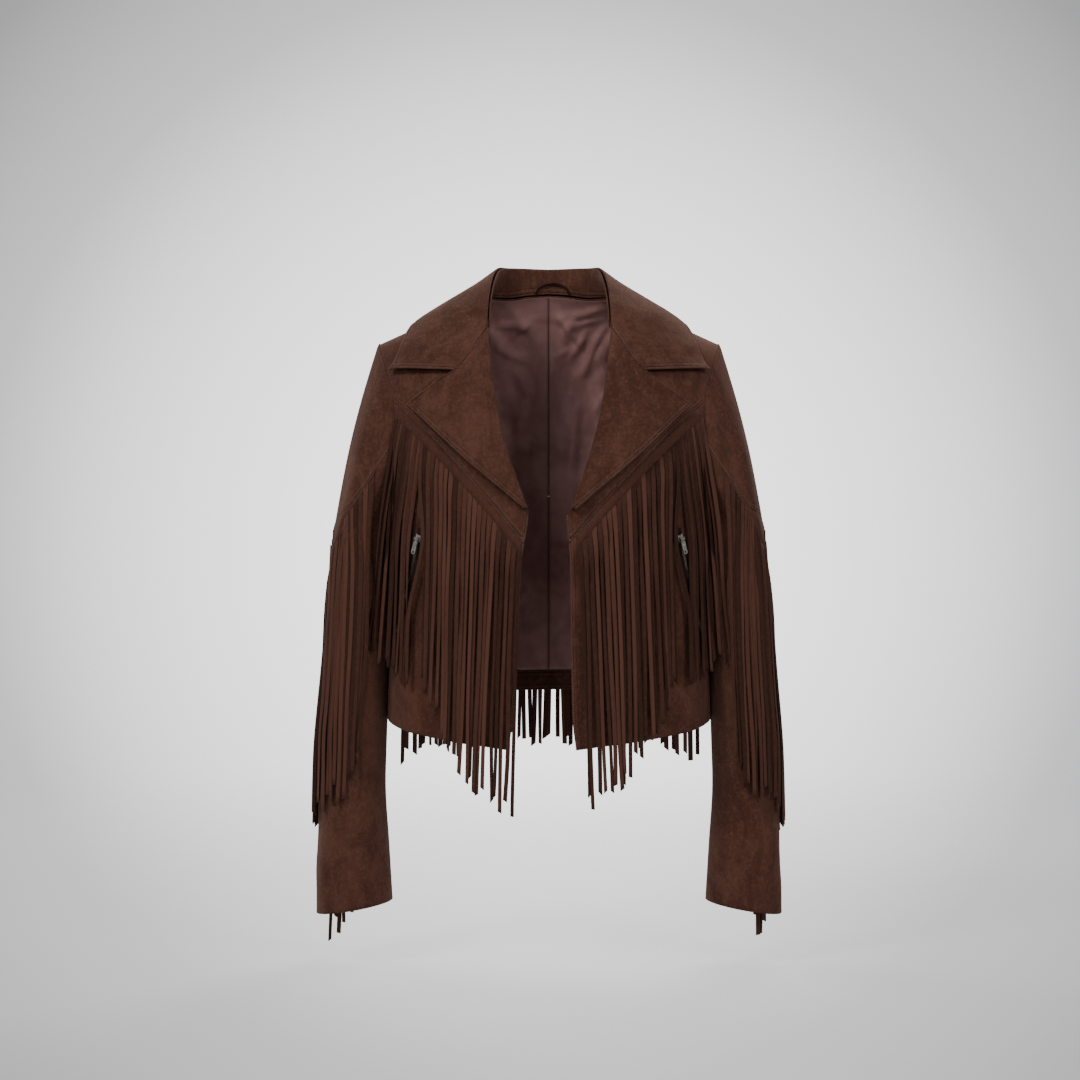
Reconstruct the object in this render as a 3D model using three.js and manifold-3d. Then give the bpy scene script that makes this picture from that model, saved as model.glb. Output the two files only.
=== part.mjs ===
// Cropped suede jacket with fringed yokes, filled out as if it were worn, in millimetres.
// +Z is up, +X is to the right seen from the front and the front faces -Y. The origin is
// the middle of the shoulder line, where a wearer carries the jacket. Left and right are
// the sides as seen from the front.
import * as THREE from 'three';
import { mergeVertices } from 'three/addons/utils/BufferGeometryUtils.js';
import Module from 'manifold-3d';

const wasm = await Module();
wasm.setup();

const suede = 1.8;
const liningCloth = 1.0;
const seamGap = 0.3;
const layerGap = 0.4;
const evenDiagonals = 0.01;

const shoulderX = 197;
const shoulderY = 8;
const neckX = 72;
const neckZ = 56;
const roundFrom = -140;
const sideSquareness = 2.5;
const underarmZ = -183;
const armScoopFront = 18;
const armScoopBack = 10;
const frontYokeArmZ = -67;
const backYokeArmZ = -130;
const backYokeMiddleZ = -172;
const frontYokeEdgeZ = -229;
const frontYokeBow = 6;
const lapelBottomZ = -191;
const gorgeX = 69;
const gorgeZ = 11;

const bodySections = {
  columns: ['height', 'halfWidth', 'frontDepth', 'backDepth'],
  rows: [
    [-480, 187, 106, 101],
    [-430, 185.5, 107, 99],
    [-360, 183, 109, 94],
    [-300, 181, 112, 91],
    [-240, 182, 115, 96],
    [-183, 184.8, 116, 102],
    [-110, 192, 113, 105],
    [-60, 199, 108, 103],
    [0, 203, 100, 97],
    [90, 205, 92, 92],
  ],
};

const frontEdges = {
  columns: ['height', 'left', 'right'],
  rows: [
    [-457, 45.5, 29.5],
    [-428, 41, 26],
    [-382, 37.5, 24.5],
    [-327, 34.5, 23.5],
    [-245, 30, 22.5],
    [-205, 23.5, 19],
    [-191, 23, 18.5],
  ],
};

const rollLine = {
  columns: ['height', 'out'],
  rows: [
    [-191, 23],
    [-170, 30.5],
    [-130, 44],
    [-88, 55],
    [-40, 63],
    [11, 69],
  ],
};

const backNeckline = {
  columns: ['out', 'height'],
  rows: [
    [0, 62.5],
    [22, 60.5],
    [45, 57],
    [60, 56.6],
    [72, 56],
  ],
};

const sleeveTopZ = -200;
const cuffOuterZ = -650;
const cuffInnerZ = -635;
const capBulge = 4.5;

const sleeveSections = {
  columns: ['height', 'outer', 'inner', 'halfDepth', 'middleY'],
  rows: [
    [-650, 266, 178, 42, -12],
    [-570, 265, 183, 46, -10],
    [-510, 264, 187.4, 49, -8],
    [-450, 262, 187.2, 52, -6],
    [-400, 258, 185.7, 54, -5],
    [-340, 254, 183.8, 57, -4],
    [-275, 251, 183, 60, -3],
    [-200, 244.5, 186, 62, -1],
  ],
};

const sleeveSeam = {
  columns: ['angle', 'run'],
  rows: [
    [-116, 0.04],
    [-98, 0.42],
    [-80, 0.98],
    [-62, 1.32],
    [-45, 1.3],
    [-20, 1.14],
    [0, 1.05],
    [30, 1.0],
    [60, 0.92],
    [73, 0.8],
    [90, 0.46],
    [102, 0.04],
  ],
};

const suedeFinish = { color: 0x4c2d22, roughness: 0.95, metalness: 0 };
const fringeFinish = { color: 0x43281f, roughness: 0.95, metalness: 0 };
const liningFinish = { color: 0x614442, roughness: 0.55, metalness: 0 };
const tapeFinish = { color: 0x2a1c18, roughness: 0.85, metalness: 0 };
const metalFinish = { color: 0xa9a49a, roughness: 0.35, metalness: 1 };

const jacket = new THREE.Group();

function addPiece(name, geometry, finish) {
  const mesh = new THREE.Mesh(geometry, new THREE.MeshStandardMaterial(finish));
  mesh.name = name;
  jacket.add(mesh);
}

const { clamp, degToRad, lerp, radToDeg, smoothstep } = THREE.MathUtils;

// Smooth value of a table's column, where the first column is the key and rises row by row.
function tableValue(table, column, key) {
  const c = table.columns.indexOf(column);
  const rows = table.rows;
  const last = rows.length - 1;
  const at = clamp(key, rows[0][0], rows[last][0]);
  let i = 0;
  while (i < last - 1 && at > rows[i + 1][0]) {
    i += 1;
  }
  const slope = (j) => {
    const before = rows[Math.max(j - 1, 0)];
    const after = rows[Math.min(j + 1, last)];
    return (after[c] - before[c]) / (after[0] - before[0]);
  };
  const span = rows[i + 1][0] - rows[i][0];
  const s = (at - rows[i][0]) / span;
  const ease = s * s * (3 - 2 * s);
  const bend = slope(i) * s * (1 - s) ** 2 - slope(i + 1) * s * s * (1 - s);
  return lerp(rows[i][c], rows[i + 1][c], ease) + span * bend;
}

// Height of the shoulder line at a distance from the middle.
function shoulderHeight(x) {
  return neckZ - (neckZ * (Math.abs(x) - neckX)) / (shoulderX - neckX);
}

// Depth of the body's outer face: a squarish oval that rounds over into the shoulder line.
function bodyY(x, z, face) {
  const depth = tableValue(bodySections, face < 0 ? 'frontDepth' : 'backDepth', z);
  const reach = Math.min(Math.abs(x) / tableValue(bodySections, 'halfWidth', z), 1);
  const flat = face * depth * (1 - reach ** sideSquareness) ** (1 / sideSquareness);
  const rise = clamp((z - roundFrom) / (shoulderHeight(x) - roundFrom), 0, 1);
  return lerp(shoulderY, flat, Math.sqrt(1 - rise ** 3));
}

function bodyNormal(x, z, face) {
  const step = 0.1;
  const inward = x === 0 ? step : -Math.sign(x) * step;
  const y = bodyY(x, z, face);
  const slopeX = (bodyY(x + inward, z, face) - y) / inward;
  const slopeZ = (y - bodyY(x, z - step, face)) / step;
  return new THREE.Vector3(-slopeX * face, face, -slopeZ * face).normalize();
}

// A point of the body's face, moved out along its normal.
function bodyPoint(x, z, face, out = 0) {
  const point = new THREE.Vector3(x, bodyY(x, z, face), z);
  return point.addScaledVector(bodyNormal(x, z, face), out);
}

// A closed wall between two grids of points. Cells that filled() refuses stay open.
function wall(columns, rows, outerAt, innerAt, { filled = () => true, loop = false } = {}) {
  const grid = (at) => {
    const points = [];
    for (let j = 0; j <= rows; j += 1) {
      points.push(Array.from({ length: columns + 1 }, (_, i) => at(i % (loop ? columns : columns + 1), j)));
    }
    return points;
  };
  const outer = grid(outerAt);
  const inner = grid(innerAt);
  const triangles = [];
  const quad = (a, b, c, d) => triangles.push(a, b, c, a, c, d);
  // A narrow edge between the faces is split along its shorter diagonal.
  const edge = (a, b, c, d) => {
    if (a.distanceTo(c) < b.distanceTo(d)) quad(a, b, c, d);
    else quad(b, c, d, a);
  };
  // Both faces of a cell are split along the shorter diagonal of its outer face.
  const face = (points, i, j, flipped) => {
    const [a, b, c, d] = [points[j][i], points[j][i + 1], points[j + 1][i + 1], points[j + 1][i]];
    const rising = outer[j][i].distanceTo(outer[j + 1][i + 1]);
    const falling = outer[j][i + 1].distanceTo(outer[j + 1][i]);
    const long = rising > falling + evenDiagonals;
    const ring = long ? [b, c, d, a] : [a, b, c, d];
    if (flipped) ring.reverse();
    if (flipped) ring.unshift(ring.pop());
    quad(...ring);
  };
  const solid = (i, j) => {
    const column = loop ? (i + columns) % columns : i;
    return column >= 0 && column < columns && j >= 0 && j < rows && filled(column, j);
  };
  for (let j = 0; j < rows; j += 1) {
    for (let i = 0; i < columns; i += 1) {
      if (!solid(i, j)) continue;
      face(outer, i, j, false);
      face(inner, i, j, true);
      if (!solid(i, j - 1)) edge(outer[j][i + 1], outer[j][i], inner[j][i], inner[j][i + 1]);
      if (!solid(i, j + 1)) edge(outer[j + 1][i], outer[j + 1][i + 1], inner[j + 1][i + 1], inner[j + 1][i]);
      if (!solid(i - 1, j)) edge(outer[j][i], outer[j + 1][i], inner[j + 1][i], inner[j][i]);
      if (!solid(i + 1, j)) edge(outer[j + 1][i + 1], outer[j][i + 1], inner[j][i + 1], inner[j + 1][i + 1]);
    }
  }
  let volume = 0;
  for (let k = 0; k < triangles.length; k += 3) {
    volume += triangles[k].dot(triangles[k + 1].clone().cross(triangles[k + 2]));
  }
  const order = volume > 0 ? [0, 1, 2] : [0, 2, 1];
  const positions = new Float32Array(triangles.length * 3);
  for (let k = 0; k < triangles.length; k += 3) {
    order.forEach((corner, n) => triangles[k + corner].toArray(positions, (k + n) * 3));
  }
  const geometry = new THREE.BufferGeometry();
  geometry.setAttribute('position', new THREE.BufferAttribute(positions, 3));
  return geometry;
}

// Places of a surface at the crossings of two lists, one row of places for each v.
function placesOn(place, us, vs) {
  return vs.map((v) => us.map((u) => place(u, v)));
}

// A panel from a grid of places: half the seam gap is left free along each of its edges.
function panel(places, thickness, { out = 0, trim = seamGap / 2, loop = false } = {}) {
  const rows = places.length - 1;
  const columns = places[0].length - (loop ? 0 : 1);
  const point = (i, j) => {
    const { at } = places[j][i];
    const moved = at.clone();
    const pull = (neighbour) => {
      const step = neighbour.at.clone().sub(at);
      if (step.length() > 0) moved.addScaledVector(step.normalize(), trim);
    };
    if (!loop && i === 0) pull(places[j][1]);
    if (!loop && i === columns) pull(places[j][columns - 1]);
    if (j === 0) pull(places[1][i]);
    if (j === rows) pull(places[rows - 1][i]);
    return moved;
  };
  const layer = (depth) => (i, j) => point(i, j).addScaledVector(places[j][i].normal, depth);
  return wall(columns, rows, layer(out), layer(out - thickness), { loop });
}

// Blend of four edge curves, each giving a pair of surface coordinates.
function coons(bottom, top, start, end) {
  return (u, v) => {
    const corner = [bottom(0), bottom(1), top(0), top(1)];
    return [0, 1].map((k) => {
      const across = lerp(bottom(u)[k], top(u)[k], v);
      const along = lerp(start(v)[k], end(v)[k], u);
      const low = lerp(corner[0][k], corner[1][k], u);
      const high = lerp(corner[2][k], corner[3][k], u);
      return across + along - lerp(low, high, v);
    });
  };
}

const steps = (n, shape = (s) => s) => Array.from({ length: n + 1 }, (_, i) => shape(i / n));
const easeToEnd = (s) => 1 - (1 - s) ** 2;

// Armhole: how far out its edge lies at a height, on the front or the back.
function armholeX(z, face) {
  const s = (z - underarmZ) / -underarmZ;
  const scoop = face < 0 ? armScoopFront : armScoopBack;
  const side = tableValue(bodySections, 'halfWidth', underarmZ);
  return lerp(side, shoulderX, s) - scoop * Math.sin(Math.PI * s) ** 0.8;
}

// Places on the body: how far round from the middle, and how far up towards the shoulder.
const baseZ = -480;

function toBody(x, z) {
  const half = tableValue(bodySections, 'halfWidth', z);
  return [Math.asin(clamp(x / half, -1, 1)), (z - baseZ) / (shoulderHeight(x) - baseZ)];
}

function onBody([round, up], face) {
  let x = 0;
  let z = lerp(baseZ, 0, up);
  for (let turn = 0; turn < 6; turn += 1) {
    x = tableValue(bodySections, 'halfWidth', z) * Math.sin(round);
    z = lerp(baseZ, shoulderHeight(x), up);
  }
  return { at: bodyPoint(x, z, face), normal: bodyNormal(x, z, face) };
}

const rightAngle = Math.PI / 2;
const sideHemZ = -426;
const frontHemZ = -457;
const backHemZ = -402;
const armRowsFront = 5;
const armRowsBack = 4;
const sideRows = 6;
const facingDepth = 30;
const yokeRowsFront = 7;
const yokeRowsBack = 8;
const frontColumns = 9;
const backColumns = 18;

const armFrontZ = (s) => underarmZ + (frontYokeArmZ - underarmZ) * (1 - s) ** 2;
const armBackZ = (s) => underarmZ + (backYokeArmZ - underarmZ) * (1 - s) ** 2;

function frontEdgeX(z, side) {
  return tableValue(frontEdges, side < 0 ? 'left' : 'right', z);
}

// Inner edge of a front yoke: front edge, lapel roll line, then the neck seam.
function yokeInnerX(z, side) {
  if (z < lapelBottomZ) return frontEdgeX(z, side);
  if (z < gorgeZ) return tableValue(rollLine, 'out', z);
  return lerp(gorgeX, neckX, (z - gorgeZ) / (neckZ - gorgeZ));
}

// Yoke seam on a front, as a distance out and a height, from the front edge to the armhole.
function frontSeam(u, side) {
  const x = lerp(frontEdgeX(frontYokeEdgeZ, side), armholeX(frontYokeArmZ, -1), u);
  const z = lerp(frontYokeEdgeZ, frontYokeArmZ, u) + frontYokeBow * Math.sin(Math.PI * u);
  return [x, z];
}

function backSeam(x) {
  const share = Math.abs(x) / armholeX(backYokeArmZ, 1);
  return lerp(backYokeMiddleZ, backYokeArmZ, share ** 1.3);
}

function frontYokePlace(side) {
  const patch = coons(
    (u) => toBody(...frontSeam(u, side)),
    (u) => {
      const x = lerp(neckX, shoulderX, u);
      return toBody(x, shoulderHeight(x));
    },
    (v) => {
      const z = lerp(frontYokeEdgeZ, neckZ, easeToEnd(v));
      return toBody(yokeInnerX(z, side), z);
    },
    (v) => {
      const z = lerp(frontYokeArmZ, 0, easeToEnd(v));
      return toBody(armholeX(z, -1), z);
    },
  );
  return (u, v) => onBody(patch(u, v), -1);
}

// Height of a row between a top and a hem: the last row is as deep as the hem facing.
function rowHeight(row, rows, top, hem) {
  if (row > rows - 1) return lerp(hem + facingDepth, hem, row - rows + 1);
  return lerp(top, hem + facingDepth, row / (rows - 1));
}

// Outer edge of a lower panel: down the armhole, then down the side seam.
function outerEdge(v, armRows, armZ, face, side = 1) {
  const row = v * (armRows + sideRows);
  if (row < armRows) {
    const z = armZ(row / armRows);
    return toBody(side * armholeX(z, face), z);
  }
  const z = rowHeight(row - armRows, sideRows, underarmZ, sideHemZ);
  return [side * rightAngle, toBody(tableValue(bodySections, 'halfWidth', z), z)[1]];
}

function frontPlace(side) {
  const patch = coons(
    (u) => toBody(...frontSeam(u, side)),
    (u) => {
      const z = lerp(frontHemZ, sideHemZ, u);
      const inner = toBody(frontEdgeX(frontHemZ, side), frontHemZ)[0];
      const round = lerp(inner, rightAngle, u);
      const x = tableValue(bodySections, 'halfWidth', z) * Math.sin(round);
      return [round, toBody(x, z)[1]];
    },
    (v) => {
      const rows = armRowsFront + sideRows;
      const z = rowHeight(v * rows, rows, frontYokeEdgeZ, frontHemZ);
      return toBody(frontEdgeX(z, side), z);
    },
    (v) => outerEdge(v, armRowsFront, armFrontZ, -1),
  );
  return (u, v) => onBody(patch(u, v), -1);
}

// Upper edge across the back: along a shoulder, round the neck, along the other shoulder.
function backTop(u) {
  const shoulderShare = 5 / backColumns;
  const fromMiddle = Math.abs(u - 0.5);
  const neckHalf = 0.5 - shoulderShare;
  const side = Math.sign(u - 0.5);
  if (fromMiddle <= neckHalf) {
    const x = (neckX * fromMiddle) / neckHalf;
    return [side * x, tableValue(backNeckline, 'height', x)];
  }
  const x = lerp(neckX, shoulderX, (fromMiddle - neckHalf) / shoulderShare);
  return [side * x, shoulderHeight(x)];
}

const backSeamX = (u) => lerp(-1, 1, u) * armholeX(backYokeArmZ, 1);
const backSeamPlace = (u) => toBody(backSeamX(u), backSeam(backSeamX(u)));

function backYokePlace() {
  const edge = (side) => (v) => {
    const z = lerp(backYokeArmZ, 0, easeToEnd(v));
    return toBody(side * armholeX(z, 1), z);
  };
  const patch = coons(backSeamPlace, (u) => toBody(...backTop(u)), edge(-1), edge(1));
  return (u, v) => onBody(patch(u, v), 1);
}

function backHem(round) {
  const z = lerp(backHemZ, sideHemZ, (round / rightAngle) ** 2);
  const x = tableValue(bodySections, 'halfWidth', z) * Math.sin(round);
  return [round, toBody(x, z)[1]];
}

function backPlace() {
  const patch = coons(
    backSeamPlace,
    (u) => backHem(lerp(-rightAngle, rightAngle, u)),
    (v) => outerEdge(v, armRowsBack, armBackZ, 1, -1),
    (v) => outerEdge(v, armRowsBack, armBackZ, 1, 1),
  );
  return (u, v) => onBody(patch(u, v), 1);
}

function onSide(place, side) {
  return (u, v) => {
    const { at, normal } = place(u, v);
    const flip = new THREE.Vector3(side, 1, 1);
    return { at: at.clone().multiply(flip), normal: normal.clone().multiply(flip) };
  };
}

const sideNames = [['left', -1], ['right', 1]];
const frontRows = armRowsFront + sideRows;
const backRows = armRowsBack + sideRows;
const liningGap = 0.9;
const liningInset = -(suede + liningGap);
const facingInset = -(suede + layerGap);
const facingThickness = 1.2;

// Lining from the places of a yoke and the panel below it. It takes every row beside the
// armhole and every second one elsewhere.
function lining(lower, yoke, armRows, columns) {
  const all = [...lower.slice(0, -1).reverse(), ...yoke.slice(1)];
  const armStart = sideRows - 2;
  const kept = (j) => j % 2 === 0 || (j > armStart && j < armStart + armRows + 2) || j === all.length - 1;
  const places = all.filter((_, j) => kept(j)).map((row) => columns.map((i) => row[i]));
  return panel(places, liningCloth, { out: liningInset, trim: seamGap });
}

for (const [name, side] of sideNames) {
  const yoke = placesOn(onSide(frontYokePlace(side), side), steps(frontColumns), steps(yokeRowsFront));
  const front = placesOn(onSide(frontPlace(side), side), steps(frontColumns), steps(frontRows));
  addPiece(`yoke_front_${name}`, panel(yoke, suede), suedeFinish);
  addPiece(`front_${name}`, panel(front, suede), suedeFinish);
  addPiece(`lining_front_${name}`, lining(front, yoke, armRowsFront, [1, 3, 5, 6, 7, 8, 9]), liningFinish);
}

const yokeBack = placesOn(backYokePlace(), steps(backColumns), steps(yokeRowsBack));
const back = placesOn(backPlace(), steps(backColumns), steps(backRows));
addPiece('yoke_back', panel(yokeBack, suede), suedeFinish);
addPiece('back', panel(back, suede), suedeFinish);
addPiece('lining_back_left', lining(back, yokeBack, armRowsBack, [0, 1, 2, 3, 5, 7, 9]), liningFinish);
addPiece('lining_back_right', lining(back, yokeBack, armRowsBack, [9, 11, 13, 15, 16, 17, 18]), liningFinish);
const facing = panel(back.slice(-2), facingThickness, { out: facingInset });
addPiece('hem_facing_back', facing, suedeFinish);

// A point on the edge of an armhole, by its angle: 0 is the shoulder, 90 the front.
function armholePlace(angle, side) {
  const turn = degToRad(angle);
  const middle = underarmZ / 2;
  const z = middle - middle * Math.cos(turn);
  const face = angle >= 0 && angle <= 180 ? -1 : 1;
  const x = armholeX(z, face);
  const onBack = () => ({ at: bodyPoint(x, z, face), normal: bodyNormal(x, z, face) });
  const { at, normal } = onSide(onBack, side)();
  return { at: at.add(new THREE.Vector3(side * seamGap, 0, 0)), normal };
}

// A level section of a sleeve, by its angle: 0 is the outer side, 90 the front.
function sleeveSection(angle, z, side, out = 0) {
  const turn = degToRad(angle);
  const [outer, inner, halfDepth, middleY] = ['outer', 'inner', 'halfDepth', 'middleY']
    .map((column) => tableValue(sleeveSections, column, z));
  const middle = (outer + inner) / 2;
  const x = middle + ((outer - inner) / 2 + out) * Math.cos(turn);
  return new THREE.Vector3(side * x, middleY - (halfDepth + out) * Math.sin(turn), z);
}

const cuffZ = (angle) => lerp(cuffInnerZ, cuffOuterZ, (1 + Math.cos(degToRad(angle))) / 2);

// A sleeve's outer face: run 0 to 1 is the cap, from the armhole down, and 1 to 2 the rest.
function sleevePoint(angle, run, side) {
  if (run >= 1) {
    return sleeveSection(angle, lerp(sleeveTopZ, cuffZ(angle), run - 1), side);
  }
  const turn = degToRad(angle);
  const around = Math.sqrt((1 + Math.cos(turn)) / 2 + 0.35 * Math.sin(turn) ** 2);
  const bulge = capBulge * around * Math.sin(Math.PI * run);
  const outward = new THREE.Vector3(side * Math.cos(turn), -Math.sin(turn), 0);
  return armholePlace(angle, side).at
    .lerp(sleeveSection(angle, sleeveTopZ, side), run)
    .addScaledVector(outward, bulge);
}

function sleevePlace(angle, run, side) {
  const at = sleevePoint(angle, run, side);
  const near = Math.min(run + 0.01, 2);
  const along = sleevePoint(angle, near, side).sub(sleevePoint(angle, near - 0.01, side));
  const round = sleevePoint(angle + 1, Math.max(run, 0.01), side);
  round.sub(sleevePoint(angle - 1, Math.max(run, 0.01), side));
  const normal = round.cross(along).normalize().multiplyScalar(side);
  return { at, normal };
}

const angleAt = (z) => radToDeg(Math.acos(clamp(1 - (2 * z) / underarmZ, -1, 1)));
const armAngles = {
  frontYoke: steps(yokeRowsFront).map((v) => angleAt(lerp(frontYokeArmZ, 0, easeToEnd(v)))),
  front: steps(armRowsFront).map((s) => angleAt(armFrontZ(s))),
  back: steps(armRowsBack).map((s) => -angleAt(armBackZ(s))),
  backYoke: steps(yokeRowsBack).map((v) => -angleAt(lerp(backYokeArmZ, 0, easeToEnd(v)))),
};
const frontSeamAngle = armAngles.front[1];
const sleeveYokeAngles = [
  ...armAngles.backYoke,
  ...armAngles.frontYoke.slice(0, -1).reverse(),
  frontSeamAngle,
];
const underAngles = [
  ...armAngles.front.slice(2),
  ...armAngles.back.slice(1, -1).map((angle) => angle + 360).reverse(),
];
const capRows = 6;
const lowerSleeveRows = 9;
const shoulderAngles = 50;

const seamRun = (angle) => tableValue(sleeveSeam, 'run', angle);

// Close to the top of the shoulder a sleeve's edge is mitred with the body's.
function sleeveEdgePlace(angle, run, side) {
  const place = sleevePlace(angle, run, side);
  if (run === 0 && Math.abs(angle) < shoulderAngles) place.normal = armholePlace(angle, side).normal;
  return place;
}

for (const [name, side] of sideNames) {
  const cap = steps(capRows).map((v) => sleeveYokeAngles
    .map((angle) => sleeveEdgePlace(angle, v * seamRun(angle), side)));
  addPiece(`sleeve_yoke_${name}`, panel(cap, suede), suedeFinish);
  const startRun = (angle) => (angle > frontSeamAngle ? 0 : seamRun(angle));
  const angles = [...sleeveYokeAngles, ...underAngles];
  const sleeve = steps(lowerSleeveRows).map((v) => angles
    .map((angle) => sleevePlace(angle, lerp(startRun(angle), 2, v), side)));
  addPiece(`sleeve_${name}`, panel(sleeve, suede, { loop: true }), suedeFinish);
}

// Fold line of the collar, from the gorge of the lapel round to the middle of the back.
const collarFold = {
  columns: ['run', 'out', 'back', 'height'],
  rows: [
    [0, 69, -78, 11],
    [0.25, 68.5, -50, 47],
    [0.45, 65, -14, 75],
    [0.65, 59, 20, 91],
    [0.8, 44, 46, 94],
    [1, 0, 61, 94],
  ],
};

const collarEdge = {
  columns: ['run', 'out', 'back', 'height'],
  rows: [
    [0, 176, -57, -34],
    [0.25, 170, -33, -2],
    [0.45, 157, 8, 26],
    [0.65, 138, 50, 18],
    [0.8, 92, 76, 18],
    [1, 0, 91, 22],
  ],
};

const leafSuede = 2;
const standSuede = 1.6;
const leafLift = 5.6;
const leafClearance = 5.2;
const foldRise = 5;
const notchX = 102;
const notchZ = -38;
const notchShare = 0.36;
const cornerReach = 0.22;
const lapelPointX = 154;
const lapelPointZ = -74;
const lapelPointRun = 0.72;
const lapelTailX = 28;
const lapelOut = 5.4;
const lapelSuede = 2.2;
const rollSuede = 4.4;
const gorgeGap = 0.6;
const collarColumns = 24;

function collarCurve(table, run, side) {
  const [x, y, z] = ['out', 'back', 'height'].map((column) => tableValue(table, column, run));
  return new THREE.Vector3(side * x, y, z);
}

// The gorge seam and the notch, then the lower edge of the collar out to its tip.
function collarEnd(v, side) {
  const tip = collarCurve(collarEdge, 0, 1);
  const [x, z] = v < notchShare
    ? [lerp(gorgeX, notchX, v / notchShare), lerp(gorgeZ, notchZ, v / notchShare)]
    : [lerp(notchX, tip.x, (v - notchShare) / (1 - notchShare)),
      lerp(notchZ, tip.z, (v - notchShare) / (1 - notchShare))];
  return bodyPoint(x, z, -1, leafLift).multiply(new THREE.Vector3(side, 1, 1));
}

function leafPoint(u, v) {
  const side = u < 0.5 ? -1 : 1;
  const run = 1 - Math.abs(2 * u - 1);
  const bent = (share) => {
    const from = collarCurve(collarFold, share, side);
    const to = collarCurve(collarEdge, share, side);
    const reach = to.clone().sub(from);
    const middle = from.clone().addScaledVector(reach, 0.42);
    middle.z += foldRise;
    return from.multiplyScalar((1 - v) ** 2)
      .addScaledVector(middle, 2 * v * (1 - v))
      .addScaledVector(to, v * v);
  };
  const point = bent(run);
  const corner = Math.max(0, 1 - run / cornerReach) ** 2;
  point.addScaledVector(collarEnd(v, side).sub(bent(0)), corner);
  const over = shoulderHeight(point.x) - point.z;
  if (over > 1 && Math.abs(point.x) < shoulderX && run > 0) {
    const face = point.y < shoulderY ? -1 : 1;
    const least = bodyY(point.x, point.z, face) + face * leafClearance;
    point.y = face < 0 ? Math.min(point.y, least) : Math.max(point.y, least);
  }
  return point;
}

// Places on a freely curved sheet, with normals from its neighbours on the grid.
function sheetPlaces(at, us, vs, outward) {
  const small = 0.004;
  return placesOn((u, v) => {
    const [u0, u1] = [Math.max(u - small, 0), Math.min(u + small, 1)];
    const [v0, v1] = [Math.max(v - small, 0), Math.min(v + small, 1)];
    const across = at(u1, v).sub(at(u0, v));
    const down = at(u, v1).sub(at(u, v0));
    const point = at(u, v);
    const normal = across.cross(down).normalize();
    if (normal.dot(outward(point)) < 0) normal.negate();
    return { at: point, normal };
  }, us, vs);
}

const fromNeck = (point) => new THREE.Vector3(point.x, point.y, Math.max(point.z, 0) * 0.5 + 25);
const leafSteps = [0, 0.08, 0.2, notchShare, 0.56, 0.78, 1];
const leaf = sheetPlaces(leafPoint, steps(collarColumns), leafSteps, fromNeck);
for (const row of leaf) {
  for (const place of [row[0], row[collarColumns]]) {
    place.normal = bodyNormal(place.at.x, place.at.z, -1);
  }
}
addPiece('collar_leaf', panel(leaf, leafSuede), suedeFinish);

// The stand rises from the neck seam to just under the fold, inside the leaf.
function standPoint(u, v) {
  const side = u < 0.5 ? -1 : 1;
  const run = 1 - Math.abs(2 * u - 1);
  const frontShare = 0.52;
  let foot;
  if (run < frontShare) {
    const z = lerp(gorgeZ - 6, neckZ, run / frontShare);
    const x = z < gorgeZ ? tableValue(rollLine, 'out', z) : yokeInnerX(z, side);
    foot = new THREE.Vector3(x, bodyY(x, z, -1), z);
  } else {
    const x = neckX * (1 - (run - frontShare) / (1 - frontShare)) ** 0.9;
    const z = tableValue(backNeckline, 'height', x);
    foot = new THREE.Vector3(x, bodyY(x, z, 1), z + 3 * seamGap);
  }
  const inward = new THREE.Vector3(-1, -0.5 * run, 0.6).normalize();
  foot.addScaledVector(inward, 2 * seamGap);
  const fold = collarCurve(collarFold, run, 1);
  fold.addScaledVector(new THREE.Vector3(-fold.x, -fold.y, 0).normalize(), leafSuede + 2 * seamGap);
  fold.z -= leafSuede;
  return foot.lerp(fold, v).multiply(new THREE.Vector3(side, 1, 1));
}

const standRows = [0, 0.5, 1];
const standEnds = 0.04;
const standColumns = steps(collarColumns, (s) => lerp(standEnds, 1 - standEnds, s));
const neckward = (point) => new THREE.Vector3(point.x, point.y, 0);
const stand = sheetPlaces(standPoint, standColumns, standRows, neckward);
addPiece('collar_stand', panel(stand, standSuede), suedeFinish);

// A lapel: the turned-out top of a front, from the roll line to its pointed outer edge.
function lapelPlace(side) {
  const bottomZ = lapelBottomZ + 1.5;
  const patch = coons(
    (u) => [lerp(tableValue(rollLine, 'out', bottomZ), lapelTailX, u), bottomZ],
    (u) => [lerp(gorgeX, notchX, u), lerp(gorgeZ, notchZ, u)],
    (v) => {
      const z = lerp(bottomZ, gorgeZ, v);
      return [tableValue(rollLine, 'out', z), z];
    },
    (v) => {
      if (v < lapelPointRun) {
        const s = v / lapelPointRun;
        return [lerp(lapelTailX, lapelPointX, s), lerp(bottomZ, lapelPointZ, s) - 3 * Math.sin(Math.PI * s)];
      }
      const s = (v - lapelPointRun) / (1 - lapelPointRun);
      return [lerp(lapelPointX, notchX, s), lerp(lapelPointZ, notchZ, s)];
    },
  );
  return (u, v) => {
    const [x, z] = patch(u, v);
    return onSide(() => ({ at: bodyPoint(x, z, -1, lapelOut), normal: bodyNormal(x, z, -1) }), side)();
  };
}

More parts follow.
